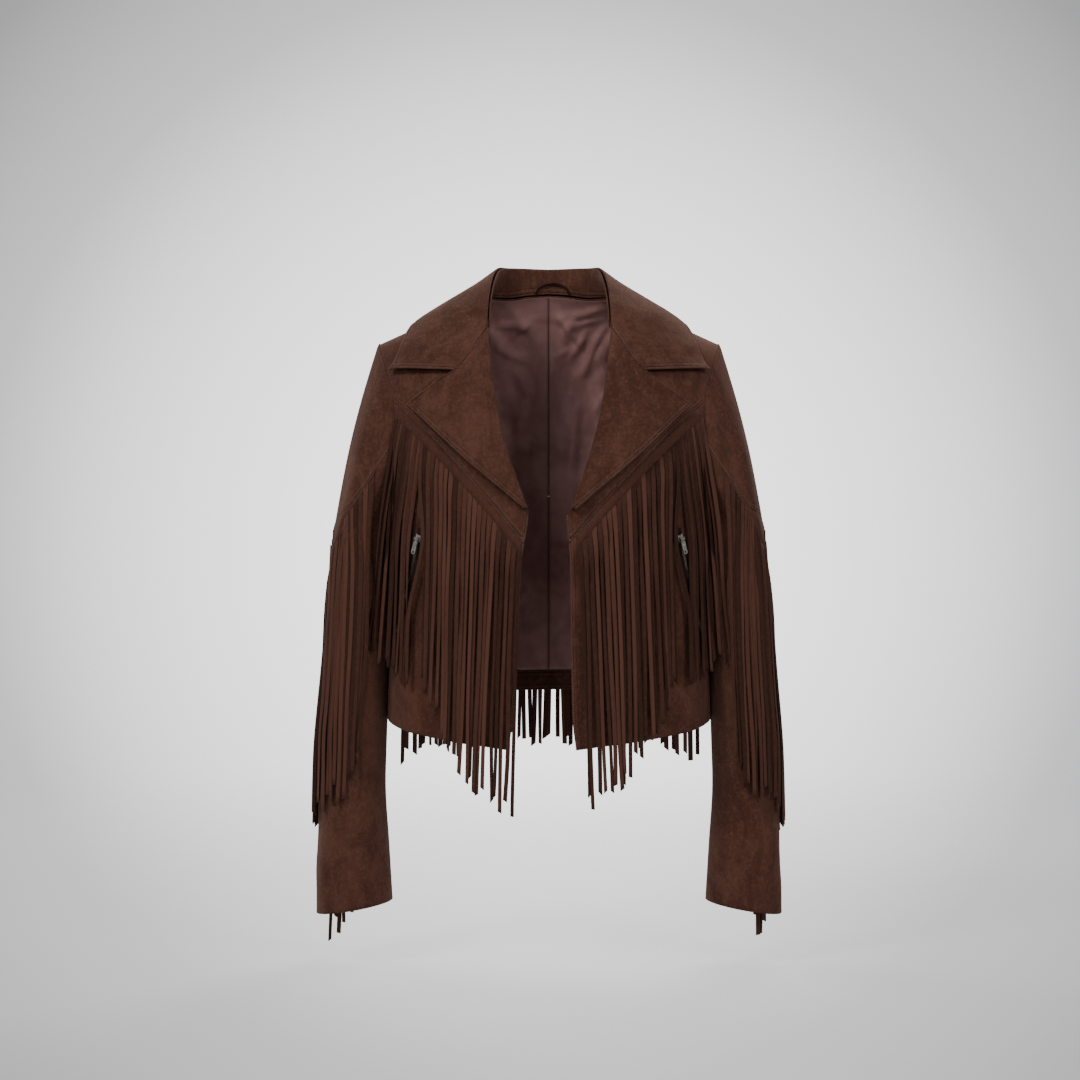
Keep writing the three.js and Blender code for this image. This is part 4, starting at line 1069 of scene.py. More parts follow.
def stand_point(u, v):
    """Straight lines from the neck seam up to just inside the fold of the leaf."""
    side = np.where(u < 0.5, -1.0, 1.0)
    run = 1 - np.abs(2 * u - 1)
    front_share = 0.52
    z = lerp(gorge_z - 6, neck_z, np.minimum(run / front_share, 1))
    x = np.where(z < gorge_z, column_value(roll_rows, 1, z), lerp(gorge_x, neck_x, (z - gorge_z) / (neck_z - gorge_z)))
    front = np.stack([x, body_y(x, z, -1), z], -1)
    back_x = neck_x * (1 - np.clip((run - front_share) / (1 - front_share), 0, 1)) ** 0.9
    back_z = column_value(neckline_rows, 1, back_x)
    rear = np.stack([back_x, body_y(back_x, back_z, 1), back_z + 0.9], -1)
    foot = np.where((run < front_share)[..., None], front, rear)
    inward = unit(np.stack([-1 + 0 * run, -0.5 * run, 0.6 + 0 * run], -1))
    foot = foot + inward * 0.6
    fold = curve_point(fold_rows, run, 1.0 + 0 * run)
    fold = fold + unit(fold * np.array([-1, -1, 0])) * 2.6 - np.array([0, 0, 2.0])
    return lerp(foot, fold, v[..., None]) * np.stack([side, 1 + 0 * side, 1 + 0 * side], -1)


u, v = np.meshgrid(np.linspace(0.04, 0.96, 145), np.linspace(0, 1, 15))
points = stand_point(u, v)
stand = cloth("collar_stand_suede", trimmed(points), 1.6, from_body_axis, ("top",))
stand.data.materials.append(edge_suede)
hang(stand, ["collar_stand"])

loop_middle, loop_half, loop_rise, loop_band = 4.5, 21, 16, 3.2
turn, across = np.meshgrid(np.linspace(0, np.pi, 61), np.linspace(0, 1, 7))
radius = 1 - across * loop_band / loop_half
x = loop_middle - loop_half * radius * np.cos(turn)
z = 61 + (loop_rise - across * loop_band) * np.sin(turn)
neck_y = body_y(x, column_value(neckline_rows, 1, np.abs(x)), 1)
y = neck_y - 1.6 - 0.75 - 0.9 - 0.5 * np.sin(np.pi * across)
loop = cloth("loop_for_hanging", np.stack([x, y, z], -1), 1.1, lambda p: np.array([0, -1, 0]) + 0 * p, ("top", "bottom"))
# Painted shade: the loop's suede is made near-black to stand in for the shadow inside its arch.
loop_suede_painted_shade = suede_finish("loop suede darkened as painted shade", (0.010, 0.004, 0.003), (0.018, 0.007, 0.005), (0.034, 0.014, 0.010))
loop.data.materials.append(loop_suede_painted_shade)
hang(loop, ["hanger_loop"])


# Lapels: the tops of the fronts, doubled and turned out on the roll line, with a long point. The
# roll is left soft and round, and the outer edge is pressed flat and stitched.
lapel_point_x, lapel_point_z, lapel_point_run = 154, -74, 0.72
lapel_tail_x, lapel_lift = 28, 5.4
lapel_waves = [
    (52, -60, 110, -84, 1.8, 15),
    (44, -110, 96, -110, -1.4, 13),
    (36, -150, 70, -130, 1.3, 11),
    (70, -10, 104, -60, 1.2, 16),
]


def lapel_patch():
    bottom_z = lapel_bottom_z + 1.5

    def gorge(u):
        return lerp(gorge_x, notch_x, u), lerp(gorge_z, notch_z, u)

    def roll(v):
        z = lerp(bottom_z, gorge_z, v)
        return column_value(roll_rows, 1, z), z

    def outer(v):
        s = np.clip(v / lapel_point_run, 0, 1)
        t = np.clip((v - lapel_point_run) / (1 - lapel_point_run), 0, 1)
        x = np.where(v < lapel_point_run, lerp(lapel_tail_x, lapel_point_x, s), lerp(lapel_point_x, notch_x, t))
        low = lerp(bottom_z, lapel_point_z, s) - 3 * np.sin(np.pi * s)
        return x, np.where(v < lapel_point_run, low, lerp(lapel_point_z, notch_z, t))

    return coons(lambda u: (lerp(column_value(roll_rows, 1, bottom_z), lapel_tail_x, u), bottom_z + 0 * u), gorge, roll, outer)


across = np.concatenate([np.linspace(0, 0.08, 9), np.linspace(0.08, 1, 52)[1:]])
along = np.concatenate([np.linspace(0, lapel_point_run, 64), np.linspace(lapel_point_run, 1, 26)[1:]])
lapel_grids = {}
for label, side in sides:
    u, v = np.meshgrid(across, along)
    x, z = lapel_patch()(u, v)
    roll = np.clip(u / 0.07, 0, 1)
    wave = np.clip(crease_height(x * (1 if side > 0 else 0.96), z + 5 * side, lapel_waves), -1.2, 2.0)
    raised = 3.6 * np.sqrt(1 - (1 - roll) ** 2) - 3.6 + wave * np.sin(np.pi * np.clip(u, 0, 1)) ** 0.6
    curled = 0.9 * np.clip((u - 0.85) / 0.15, 0, 1) ** 2 * np.sin(3.5 * v + side)
    curled = curled + 5.6 * np.clip((u - 0.15) / 0.85, 0, 1) ** 1.4 * np.clip(v * 4 + 0.15, 0, 1) * np.clip((1 - v) * 5, 0, 1)
    normal = body_normal(x, z, -1)
    crease = body_crease(x * side, z, -1)
    points = np.stack([x, body_y(x, z, -1), z], -1) + normal * (lapel_lift + raised + curled + crease)[..., None]
    points[-1] += unit(np.array([notch_z - gorge_z, 0, gorge_x - notch_x])) * 0.6
    points = points * np.array([side, 1, 1])
    thickness = 2.2 - 1.4 * (1 - np.sqrt(1 - (1 - roll) ** 2)) + 2.0 * np.exp(-(((u - 0.05) / 0.04) ** 2))
    lapel = cloth(f"lapel_{label}_suede", points, thickness, from_body_axis, ("end",))
    lapel.data.materials.append(edge_suede)
    hang(lapel, [f"lapel_{label}"])
    lapel_grids[label] = points


# Fringe: strips of the same suede, slit into strands and sewn under the yoke seams. The strands
# are cut by hand, so they twist, lean together in small groups and end at uneven, slanted tips.
# They hang straight down wherever the cloth lets them, over the zips and beside the hem.
strand_thick, fringe_lift, strip_drop, seam_drop, hang_gap = 1.1, 0.5, 14, 1.5, 1.6
crease_reach, crease_y, sleeve_front_y = 16, -50, -64
chest_columns = ("root", "end", "length")
chest_rows = [
    (33, 45, 306),
    (52, 63, 324),
    (80, 91, 328),
    (105, 116, 320),
    (112, 123, 314),
    (126, 136, 290),
    (140, 149, 284),
    (152, 166, 290),
    (169, 198, 288),
]
chest_strands, back_strands, sleeve_strands = 32, 54, 42
chest_spread = [(0, 33), (0.5, 116), (0.7, 143), (1, 169)]
sleeve_hang_columns = ("hang_angle", "root_angle", "length")
sleeve_hang = [
    (-135, -103, 340),
    (-112, -84, 340),
    (-88, -68, 336),
    (-52, -54, 330),
    (-40, -42, 262),
    (-22, -21, 290),
    (0, 0, 340),
    (60, 58, 340),
    (88, 73, 340),
    (108, 88, 340),
]
slider_share = 0.09


def fringe_finish():
    """Slit suede: matt brown, each strand a little different in tone, with painted shade along its
    long edges where the strands lie against each other, and long fibres down its length."""
    finish = Finish("slit suede")
    own = finish.mark("strand")
    strand_edge_shade = finish.mark("strand_edge_shade")
    fibres = finish.noise(500.0, 3.0, 0.7, finish.stretched(1.0, 1.0, 0.14))
    mottle = finish.noise(300.0, 3.0, 0.6)
    share = (own * 0.6 + fibres * 0.25 + mottle * 0.15).ramp(0.2, 0.85)
    colour = finish.mix(share, (0.034, 0.0135, 0.009, 1), (0.098, 0.041, 0.028, 1))
    colour = finish.mix(mottle.ramp(0.5, 0.8) * 0.3, colour, (0.118, 0.052, 0.036, 1))
    # Painted shade: each strand is darkened along its long edges, standing in for the shade between strands.
    colour = finish.mix(strand_edge_shade * 0.5, colour, (0.016, 0.006, 0.004, 1))
    height = fibres * 0.8 + mottle * 0.5
    finish.shell(
        Base_Color=colour,
        Roughness=mottle * 0.1 + 0.88,
        Normal=finish.bump(height, 0.5, 0.0008),
        Sheen_Weight=0.1,
        Sheen_Roughness=0.5,
        Sheen_Tint=(0.9, 0.55, 0.42, 1.0),
        Specular_IOR_Level=0.1,
    )
    return finish.material


slit_suede = fringe_finish()


def front_cloth(x, z):
    """Foremost cloth of the right-hand front: the body, or beside it the sleeve, bridged between."""
    half = half_width(z)
    body = np.where(x < half, body_y(np.minimum(x, half), z, -1) - np.maximum(body_crease(x, z, -1), 0), 0)
    near_sleeve = x > arm_edge_x(np.maximum(z, underarm_z), -1) - 4
    high = np.where(near_sleeve, np.minimum(body, sleeve_front_y), body)
    outer, inner, depth, middle = (column_value(sleeve_rows, k, z) for k in (1, 2, 3, 4))
    reach = (2 * x - outer - inner) / (outer - inner)
    sleeve = np.where(np.abs(reach) < 1, middle - depth * np.sqrt(np.maximum(1 - reach**2, 0)) - 2, 0)
    between = np.where((x > half - crease_reach) & (x < inner + crease_reach), crease_y, 0)
    low = np.minimum(np.minimum(body, sleeve), between) - np.where(z < zip_top[1], 2.4, 0)
    return np.where(z > sleeve_top_z, high, low)


def back_cloth(x, z):
    return body_y(x, z, 1) + np.maximum(body_crease(x, z, 1), 0)


def hang_from(start, x, z, face, cloth_y):
    """Next point down a strand: straight from the last, and clear of the cloth in between."""
    y = cloth_y(x, z) + face * hang_gap
    for s in np.linspace(1 / 3, 11 / 12, 8):
        clear = cloth_y(lerp(start[:, 0], x, s), lerp(start[:, 2], z, s)) + face * hang_gap * s
        needed = (clear - (1 - s) * start[:, 1]) / s
        y = np.minimum(y, needed) if face < 0 else np.maximum(y, needed)
    return np.stack([x, y, z], -1)


def smooth_path(levels, shares, rows):
    """Evenly spaced points on a smooth curve through the levels of each strand."""
    levels = np.stack(levels)
    fine = np.linspace(shares[0], 1, rows)
    slopes = np.gradient(levels, shares, axis=0)
    i = np.clip(np.searchsorted(shares, fine, side="right") - 1, 0, len(shares) - 2)
    span = (shares[i + 1] - shares[i])[:, None, None]
    s = ((fine - shares[i]) / (shares[i + 1] - shares[i]))[:, None, None]
    return (
        levels[i] * (1 + 2 * s) * (1 - s) ** 2
        + levels[i + 1] * s * s * (3 - 2 * s)
        + span * (slopes[i] * s * (1 - s) ** 2 - slopes[i + 1] * s * s * (1 - s))
    ), (fine - fine[0]) / (1 - fine[0])


def fringe_mesh(name, paths, shares, outs, width, seed, stand_off, calm=None):
    """Strands as flat ribbons with eight corners round: each path sways to the side, more towards
    its tip, and its ribbon turns about it. The tip is cut at a slant."""
    rng = np.random.default_rng(seed)
    rows, count = paths.shape[:2]
    s = shares[:, None]
    outs = unit(outs)
    side = unit(np.cross(outs, np.array([0.0, 0.0, 1.0])))
    group = np.cumsum(rng.random(count) < 0.3)
    lean = rng.normal(0, 1.7, group.max() + 1)[group] + rng.normal(0, 1.0, count)
    apart = np.arange(count) - np.array([np.arange(count)[group == g].mean() for g in group])
    drawn = -apart * rng.uniform(0.3, 0.95, group.max() + 1)[group]
    wave = rng.uniform(0.4, 1.7, count) * np.sin(2 * np.pi * (s * rng.uniform(0.6, 1.6, count) + rng.random(count)))
    wave = wave - wave[:1]
    loose = s**1.4 if calm is None else s**1.4 * calm
    sway = (lean + drawn) * loose + wave * loose
    freed = np.clip(s * 7, 0, 1) ** 2
    layer = 1.4 * (np.arange(count) % 2) + rng.uniform(0, 1.6, count) * stand_off
    front = layer * freed + (2.2 + 1.2 * np.abs(np.sin(3 * s + rng.random(count) * 6))) * s**0.8 * stand_off
    points = paths + side * sway[..., None] + outs * front[..., None]
    twist = rng.normal(0, 0.36, count) * s**1.1 + rng.normal(0, 0.22, count) * np.sin(5 * s + rng.random(count) * 6)
    across = side * np.cos(twist)[..., None] + outs * np.sin(twist)[..., None]
    along = unit(np.gradient(points, axis=0))
    face = unit(np.cross(along, across))
    face *= np.sign((face * outs).sum(-1, keepdims=True))
    pitch = np.linalg.norm(np.gradient(paths[0, :, :2], axis=0), axis=-1)
    half = 0.5 * lerp(pitch * 0.98, width * rng.uniform(0.86, 1.1, count), freed) * (1 - 0.08 * s**2)
    corners = [(-1, 0.3), (-0.8, 0.5), (0.8, 0.5), (1, 0.3), (1, -0.3), (0.8, -0.5), (-0.8, -0.5), (-1, -0.3)]
    ringed = [
        points + across * (a * half)[..., None] + face * (b * strand_thick + 0.5 * strand_thick)
        for a, b in corners
    ]
    tube = np.stack(ringed, 2)
    step = np.gradient(paths[0], axis=0)
    over = (step * side[0]).sum(-1)
    slope = np.clip(step[:, 2] / np.where(np.abs(over) < 0.3, 0.3, over), -1.6, 1.6)
    seam_cut = (slope * half * np.exp(-((s * 12) ** 2)))[..., None] * np.array([a for a, _ in corners])
    tube[..., 2] += seam_cut
    slant = rng.uniform(-2.4, 2.4, count)[:, None] * np.array([a for a, _ in corners])[None, :]
    tube[-1, :, :, 2] -= slant
    vertices = tube.transpose(1, 0, 2, 3).reshape(-1, 3)
    ring = np.arange(8)
    base = (np.arange(count)[:, None, None] * rows + np.arange(rows - 1)[None, :, None]) * 8
    turn = (ring + 1) % 8
    quads = np.stack([base + ring, base + turn, base + 8 + turn, base + 8 + ring], -1).reshape(-1, 4)
    ends = []
    for strand in range(count):
        for row, order in ((0, (0, 1, 2, 3, 4, 5, 6, 7)), (rows - 1, (7, 6, 5, 4, 3, 2, 1, 0))):
            first = (strand * rows + row) * 8
            a, b, c, d, e, f, g, h = (first + k for k in order)
            ends += [(a, h, g, b), (b, g, f, c), (c, f, e, d)]
    own = np.repeat(rng.random(count), rows * 8)
    # Marks the long edges of each strand, where the painted shade between strands goes.
    strand_edge_shade = np.tile(np.array([1, 0.2, 0.2, 1, 1, 0.2, 0.2, 1.0]), rows * count)
    piece = make_mesh(name, vertices, np.concatenate([quads, np.array(ends)]), {"strand": own, "strand_edge_shade": strand_edge_shade})
    piece.data.materials.append(slit_suede)
    return piece


def strip_mesh(name, points, outs):
    """Uncut top of the fringe, sewn under the seam."""
    piece = cloth(name, points + outs * strand_thick, strand_thick, lambda p: outs, ())
    # The uncut strip gets none of the painted shade between strands.
    marks = {"strand": 0.5, "strand_edge_shade": 0.0}
    for mark, value in marks.items():
        layer = piece.data.attributes.new(mark, "FLOAT", "POINT")
        layer.data.foreach_set("value", np.full(len(piece.data.vertices), value, np.float32))
    piece.data.materials.append(slit_suede)
    return piece


def flat_normal(x, z, face):
    normal = body_normal(x, z, face)
    return unit(normal * np.array([0.6 if face < 0 else 1, 1, 0]))


def join(name, pieces):
    """One mesh of several."""
    with bpy.context.temp_override(active_object=pieces[0], selected_editable_objects=pieces):
        bpy.ops.object.join()
    pieces[0].name = name
    return pieces[0]


def hang_fringe(piece, node):
    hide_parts(node)
    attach(piece, "root")


def mirrored(points, side):
    return points * np.array([side, 1, 1])


for label, side in sides:
    root_x = column_value(chest_spread, 1, np.linspace(0, 1, chest_strands))
    seam_x, inner_x = arm_edge_x(front_yoke_arm_z, -1), front_edge_x(front_yoke_edge_z, side)
    seam_z = front_seam((root_x - inner_x) / (seam_x - inner_x), side)[1] - seam_drop
    length, end_x = column_value(chest_rows, 2, root_x), column_value(chest_rows, 1, root_x)
    rng = np.random.default_rng(11 + side)
    length = length * rng.uniform(0.93, 1.0, chest_strands)
    zip_x = lerp(zip_top[0], zip_bottom[0], slider_share) + 3
    levels, outs, share_list = [], [], np.array([0.044, 0.1, 0.2, 0.43, 0.72, 1.0])
    for j, share in enumerate(share_list):
        z = seam_z - lerp(strip_drop, length, (share - 0.044) / 0.956)
        x = root_x if j < 1 else lerp(root_x, end_x, share**0.8)
        away = x - zip_x
        parted = 1 - np.clip((z + 205) / 55, 0, 1)
        x = x + np.sign(away) * 6.5 * np.exp(-np.abs(away) / 30) * parted
        if j < 1:
            normal = body_normal(x, z, -1)
            point = np.stack([x, body_y(x, z, -1), z], -1)
            point = point + normal * (fringe_lift + np.maximum(body_crease(x * side, z, -1), -1))[:, None]
        else:
            point = hang_from(levels[-1], x, z, -1, front_cloth)
            normal = flat_normal(np.minimum(x, 165), np.maximum(z, -300), -1)
        levels.append(point)
        outs.append(normal)
    paths, fine = smooth_path(levels, share_list, 34)
    out_paths = smooth_path(outs, share_list, 34)[0]
    beside_zip = np.abs(paths[..., 0] - zip_x)
    calm = np.clip((beside_zip - 9) / 12, 0.05, 1)
    strands = fringe_mesh(
        "chest_strands", mirrored(paths, side), fine, mirrored(out_paths, side), 4.9, 21 + side, 1.0, calm
    )
    s = np.linspace(0, 1, 60)
    strip_x = lerp(33 - 2, 169 + 2, s)
    strip_z = front_seam((strip_x - inner_x) / (seam_x - inner_x), side)[1] - seam_drop
    x = np.stack([strip_x] * 3)
    z = strip_z - strip_drop * np.array([0, 0.5, 1.0])[:, None]
    normal = body_normal(x, z, -1)
    points = np.stack([x, body_y(x, z, -1), z], -1)
    points = points + normal * (fringe_lift + np.maximum(body_crease(x * side, z, -1), -1))[..., None]
    strip = strip_mesh("chest_strip", mirrored(points, side), mirrored(normal, side))
    fringe = join(f"chest_fringe_{label}", [strands, strip])
    hang_fringe(fringe, f"fringe_chest_{label}")

root_x = np.linspace(-163, 163, back_strands)
seam_z = back_seam_z(root_x) - seam_drop
rng = np.random.default_rng(17)
length = (292 + 54 * (np.abs(root_x) / 163) ** 2) * rng.uniform(0.96, 1.02, back_strands)
back_root = root_x
levels, outs, share_list = [], [], np.array([0.044, 0.12, 0.3, 0.65, 1.0])
for j, share in enumerate(share_list):
    z = seam_z - lerp(strip_drop, length, (share - 0.044) / 0.956)
    root_x = back_root * (1 + (0.06 * share if j else 0))
    if j < 1:
        normal = body_normal(root_x, z, 1)
        point = np.stack([root_x, body_y(root_x, z, 1), z], -1)
        point = point + normal * (fringe_lift + np.maximum(body_crease(root_x, z, 1), -1))[:, None]
    else:
        point = hang_from(levels[-1], root_x, z, 1, back_cloth)
        normal = flat_normal(root_x, z, 1)
    levels.append(point)
    outs.append(normal)
paths, fine = smooth_path(levels, share_list, 30)
strands = fringe_mesh("back_strands", paths, fine, smooth_path(outs, share_list, 30)[0], 6.2, 29, 0.7)
s = np.linspace(-165, 165, 110)
x, z = np.stack([s] * 3), back_seam_z(s) - seam_drop - strip_drop * np.array([0, 0.5, 1.0])[:, None]
normal = body_normal(x, z, 1)
points = np.stack([x, body_y(x, z, 1), z], -1)
points = points + normal * (fringe_lift + np.maximum(body_crease(x, z, 1), -1))[..., None]
fringe = join("back_fringe", [strands, strip_mesh("back_strip", points, normal)])
hang_fringe(fringe, "fringe_back")

for label, side in sides:
    hang_angle = np.linspace(-135, 108, sleeve_strands)
    root_angle = column_value(sleeve_hang, 1, hang_angle)
    run = seam_run(root_angle)
    root = sleeve_surface(root_angle, run, side)
    rng = np.random.default_rng(37 + side)
    length = column_value(sleeve_hang, 2, hang_angle) * rng.uniform(0.92, 1.0, sleeve_strands)
    levels, outs, share_list = [], [], np.array([0.042, 0.1, 0.2, 0.3, 0.4, 0.52, 0.64, 0.76, 0.88, 1.0])
    for j, share in enumerate(share_list):
        drop = lerp(strip_drop, length, (share - 0.042) / 0.958)
        z = root[:, 2] - drop
        if j < 1:
            lowered = run + drop / 150 * np.where(run < 1, 1, 0.33)
            point = sleeve_surface(root_angle, lowered, side, 0.9)
            turn = np.radians(root_angle)
            start = point
        else:
            eased = np.clip((drop - strip_drop) / 90, 0, 1)
            eased = eased * eased * (3 - 2 * eased)
            hung = sleeve_section(hang_angle, np.maximum(z, -640), side, 0.0)
            hung[:, 2] = z
            turn = np.radians(lerp(root_angle, hang_angle, eased))
            outward = np.stack([side * np.cos(turn), -np.sin(turn), 0 * turn], -1)
            ridge = np.max([sleeve_ridge(hang_angle, z + step, side) for step in (-30, -15, 0, 15, 30)], 0)
            point = lerp(start, hung + outward * (1.7 + 0.15 * j + np.clip(ridge, -0.4, 4.0))[:, None], eased[:, None])
            point[:, 2] = z
        levels.append(point)
        outs.append(np.stack([side * np.cos(turn), -np.sin(turn), 0 * turn], -1))
    paths, fine = smooth_path(levels, share_list, 34)
    strands = fringe_mesh("sleeve_strands", paths, fine, smooth_path(outs, share_list, 34)[0], 5.3, 41 + side, 0.2)
    s = np.linspace(-103, 89, 90)
    base = seam_run(s)
    strip = []
    for drop in (1.5, 8, strip_drop + 0.5):
        strip.append(sleeve_surface(s, base + drop / 150 * np.where(base < 1, 1, 0.33), side, 0.9))
    turn = np.radians(s)
    outward = np.stack([side * np.cos(turn), -np.sin(turn), 0 * turn], -1)
    points = np.stack(strip)
    strip = strip_mesh("sleeve_strip", points, np.broadcast_to(outward, points.shape))
    fringe = join(f"sleeve_fringe_{label}", [strands, strip])
    hang_fringe(fringe, f"fringe_sleeve_{label}")


# Pocket zips: a closed zip set slanting into each front, with a woven tape, small metal teeth, a
# slider at its upper end and a hanging pull tab that swings on the slider's pin.
tape_width, tape_thick, tape_lift = 11, 1.1, 0.6
tooth_pitch, tooth_reach = 1.9, 1.9


def zip_line(s, side, out):
    """Place, normal, across and down directions on a front at a share of the zip's length."""
    x, z = lerp(zip_top[0], zip_bottom[0], s), lerp(zip_top[1], zip_bottom[1], s)
    at = np.stack([x, body_y(x, z, -1), z], -1)
    normal = body_normal(x, z, -1)
    down = unit(np.gradient(at, axis=0))
    across = unit(np.cross(normal, down))
    return mirrored(at + normal * out, side), mirrored(normal, side), mirrored(across, side), mirrored(down, side)


def tape_finish():
    """Woven zip tape: dark brown, with fine slanting ribs."""
    finish = Finish("woven tape")
    place = finish.node("ShaderNodeTexCoord", output=3)
    settings = {"bands_direction": "DIAGONAL"}
    ribs = finish.node("ShaderNodeTexWave", settings, {"Vector": place, "Scale": 500.0, "Distortion": 1.0})
    colour = finish.mix(ribs, (0.014, 0.007, 0.005, 1), (0.030, 0.014, 0.010, 1))
    finish.shell(Base_Color=colour, Roughness=0.92, Specular_IOR_Level=0.1, Normal=finish.bump(ribs, 0.6, 0.0004))
    return finish.material


def worn_metal(name, dark, bright, rough):
    """Plated metal: duller in small patches, with fine scratches."""
    finish = Finish(name)
    patches = finish.noise(260.0, 3.0, 0.6)
    scratches = finish.noise(900.0, 2.0, 0.7, finish.stretched(1.0, 1.0, 0.15))
    share = (patches * 0.7 + scratches * 0.3).ramp(0.35, 0.65)
    finish.shell(
        Base_Color=finish.mix(share, (*dark, 1), (*bright, 1)),
        Metallic=1.0,
        Roughness=patches * 0.22 + rough,
        Normal=finish.bump(scratches, 0.2, 0.0002),
    )
    return finish.material


tape_cloth = tape_finish()
nickel = worn_metal("worn nickel", (0.36, 0.34, 0.31), (0.72, 0.70, 0.66), 0.2)
tooth_metal = worn_metal("zip teeth", (0.22, 0.19, 0.16), (0.50, 0.46, 0.40), 0.3)
for label, side in sides:
    s = np.linspace(0.0, 1.0, 120)
    at, normal, across, down = zip_line(s, side, tape_lift + tape_thick)
    shares = np.linspace(-0.5, 0.5, 13)[:, None, None]
    points = at[None] + across[None] * shares * tape_width
    tape = cloth(f"zip_tape_{label}_woven", points, tape_thick, from_body_axis, ())
    tape.data.materials.append(tape_cloth)
    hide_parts(f"zip_tape_{label}")
    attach(tape, "root")

    count = int(121 * 0.86 / tooth_pitch)
    at, normal, across, down = zip_line(np.linspace(0.13, 0.985, 2 * count), side, tape_lift + tape_thick - 0.1)
    way = np.where(np.arange(2 * count) % 2, 1.0, -1.0)[:, None]
    middle = at + across * way * 0.75
    corners = [(-1, -1, 0), (1, -1, 0), (1, 1, 0), (-1, 1, 0), (-0.75, -0.6, 1), (0.75, -0.6, 1), (0.75, 0.6, 1), (-0.75, 0.6, 1)]
    block = [
        middle + across * a * 0.5 * tooth_reach * 1.15 + down * b * 0.62 + normal * c * 1.15 for a, b, c in corners
    ]
    vertices = np.stack(block, 1).reshape(-1, 3)
    quads = np.array([(0, 3, 2, 1), (4, 5, 6, 7), (0, 1, 5, 4), (1, 2, 6, 5), (2, 3, 7, 6), (3, 0, 4, 7)])
    faces = (np.arange(2 * count)[:, None, None] * 8 + quads).reshape(-1, 4)
    teeth = make_mesh(f"zip_teeth_{label}", vertices, faces)
    teeth.data.polygons.foreach_set("use_smooth", np.zeros(len(faces), bool))
    teeth.data.materials.append(tooth_metal)
    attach(teeth, "root")
    for part in ("slider", "pull"):
        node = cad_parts[f"zip_{part}_{label}"]
        node.data.materials.clear()
        node.data.materials.append(nickel)


# Topstitching: brown thread that holds the yoke seams, collar, lapels and front edges flat. Each
# stitch is a short raised thread whose ends sink into the suede.
stitch_pitch, stitch_length, thread = 3.3, 2.5, 0.62


def beside(points, distance):
    """Line at a distance from a grid's first row, measured down each column."""
    steps = np.linalg.norm(np.diff(points, axis=0), axis=-1)
    down = np.concatenate([np.zeros((1, points.shape[1])), np.cumsum(steps, 0)])
    i = np.clip((down < distance).sum(0) - 1, 0, len(points) - 2)
    column = np.arange(points.shape[1])
    s = (distance - down[i, column]) / (down[i + 1, column] - down[i, column])
    return lerp(points[i, column], points[i + 1, column], s[:, None])


def sewn(points, outward, distances):
    """Stitch lines beside a grid's first row, with the way out of the cloth at each point."""
    normals = grid_normals(points)
    normals *= np.sign((normals * outward(points)).sum(-1))[..., None]
    return [(beside(points, d), beside(points + normals * 100, d) - beside(points, d)) for d in distances]


def sew(name, lines):
    """All stitches of some lines as one mesh, each a thread of three rings and two sunk ends."""
    centres, ways, outs = [], [], []
    for line, normals in lines:
        steps = np.linalg.norm(np.diff(line, axis=0), axis=-1)
        along = np.concatenate([[0], np.cumsum(steps)])
        at = np.arange(stitch_pitch, along[-1] - stitch_pitch, stitch_pitch)
        place = np.stack([np.interp(at, along, line[:, k]) for k in range(3)], -1)
        ahead = np.stack([np.interp(at + 0.5, along, line[:, k]) for k in range(3)], -1)
        out = unit(np.stack([np.interp(at, along, normals[:, k]) for k in range(3)], -1))
        centres.append(place)
        ways.append(unit(ahead - place))
        outs.append(out)
    centre, way, out = (np.concatenate(parts) for parts in (centres, ways, outs))
    side = unit(np.cross(way, out))
    rings = [(-0.5, 0.0, -0.3), (-0.34, 0.85, 0.05), (0.0, 1.0, 0.16), (0.34, 0.85, 0.05), (0.5, 0.0, -0.3)]
    turns = np.linspace(0, 2 * np.pi, 7)[:-1]
    vertices = []
    for share, size, lift in rings:
        for turn in turns if size else turns[:1]:
            radius = 0.5 * thread * size
            vertices.append(
                centre
                + way * share * stitch_length
                + side * radius * np.cos(turn)
                + out * (lift + radius * np.sin(turn) * 0.8)
            )
    block = np.stack(vertices, 1)
    quads, tips = [], []
    for ring in range(2):
        for k in range(6):
            a = 1 + ring * 6
            quads.append((a + k, a + (k + 1) % 6, a + 6 + (k + 1) % 6, a + 6 + k))
    for k in range(6):
        tips += [(0, 1 + (k + 1) % 6, 1 + k, 1 + k), (19, 13 + k, 13 + (k + 1) % 6, 13 + (k + 1) % 6)]
    first = np.arange(len(centre))[:, None, None] * block.shape[1]
    mesh = bpy.data.meshes.new(name)
    faces = (first + np.array(quads)).reshape(-1, 4).tolist()
    faces += [face[:3] for face in (first + np.array(tips)).reshape(-1, 4).tolist()]
    mesh.from_pydata((block.reshape(-1, 3) * 0.001).tolist(), [], faces)
    mesh.polygons.foreach_set("use_smooth", np.ones(len(faces), bool))
    mesh.update()
    piece = bpy.data.objects.new(name, mesh)
    bpy.context.collection.objects.link(piece)
    mesh.materials.append(thread_finish)
    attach(piece, "root")
    return piece


def thread_material():
    """Twisted polyester thread in the suede's brown, a little paler and smoother."""
    finish = Finish("brown thread")
    strand = finish.noise(1800.0, 2.0, 0.6)
    colour = finish.mix(strand, (0.085, 0.044, 0.030, 1), (0.160, 0.090, 0.064, 1))
    finish.shell(Base_Color=colour, Roughness=0.6, Normal=finish.bump(strand, 0.4, 0.0003))
    return finish.material


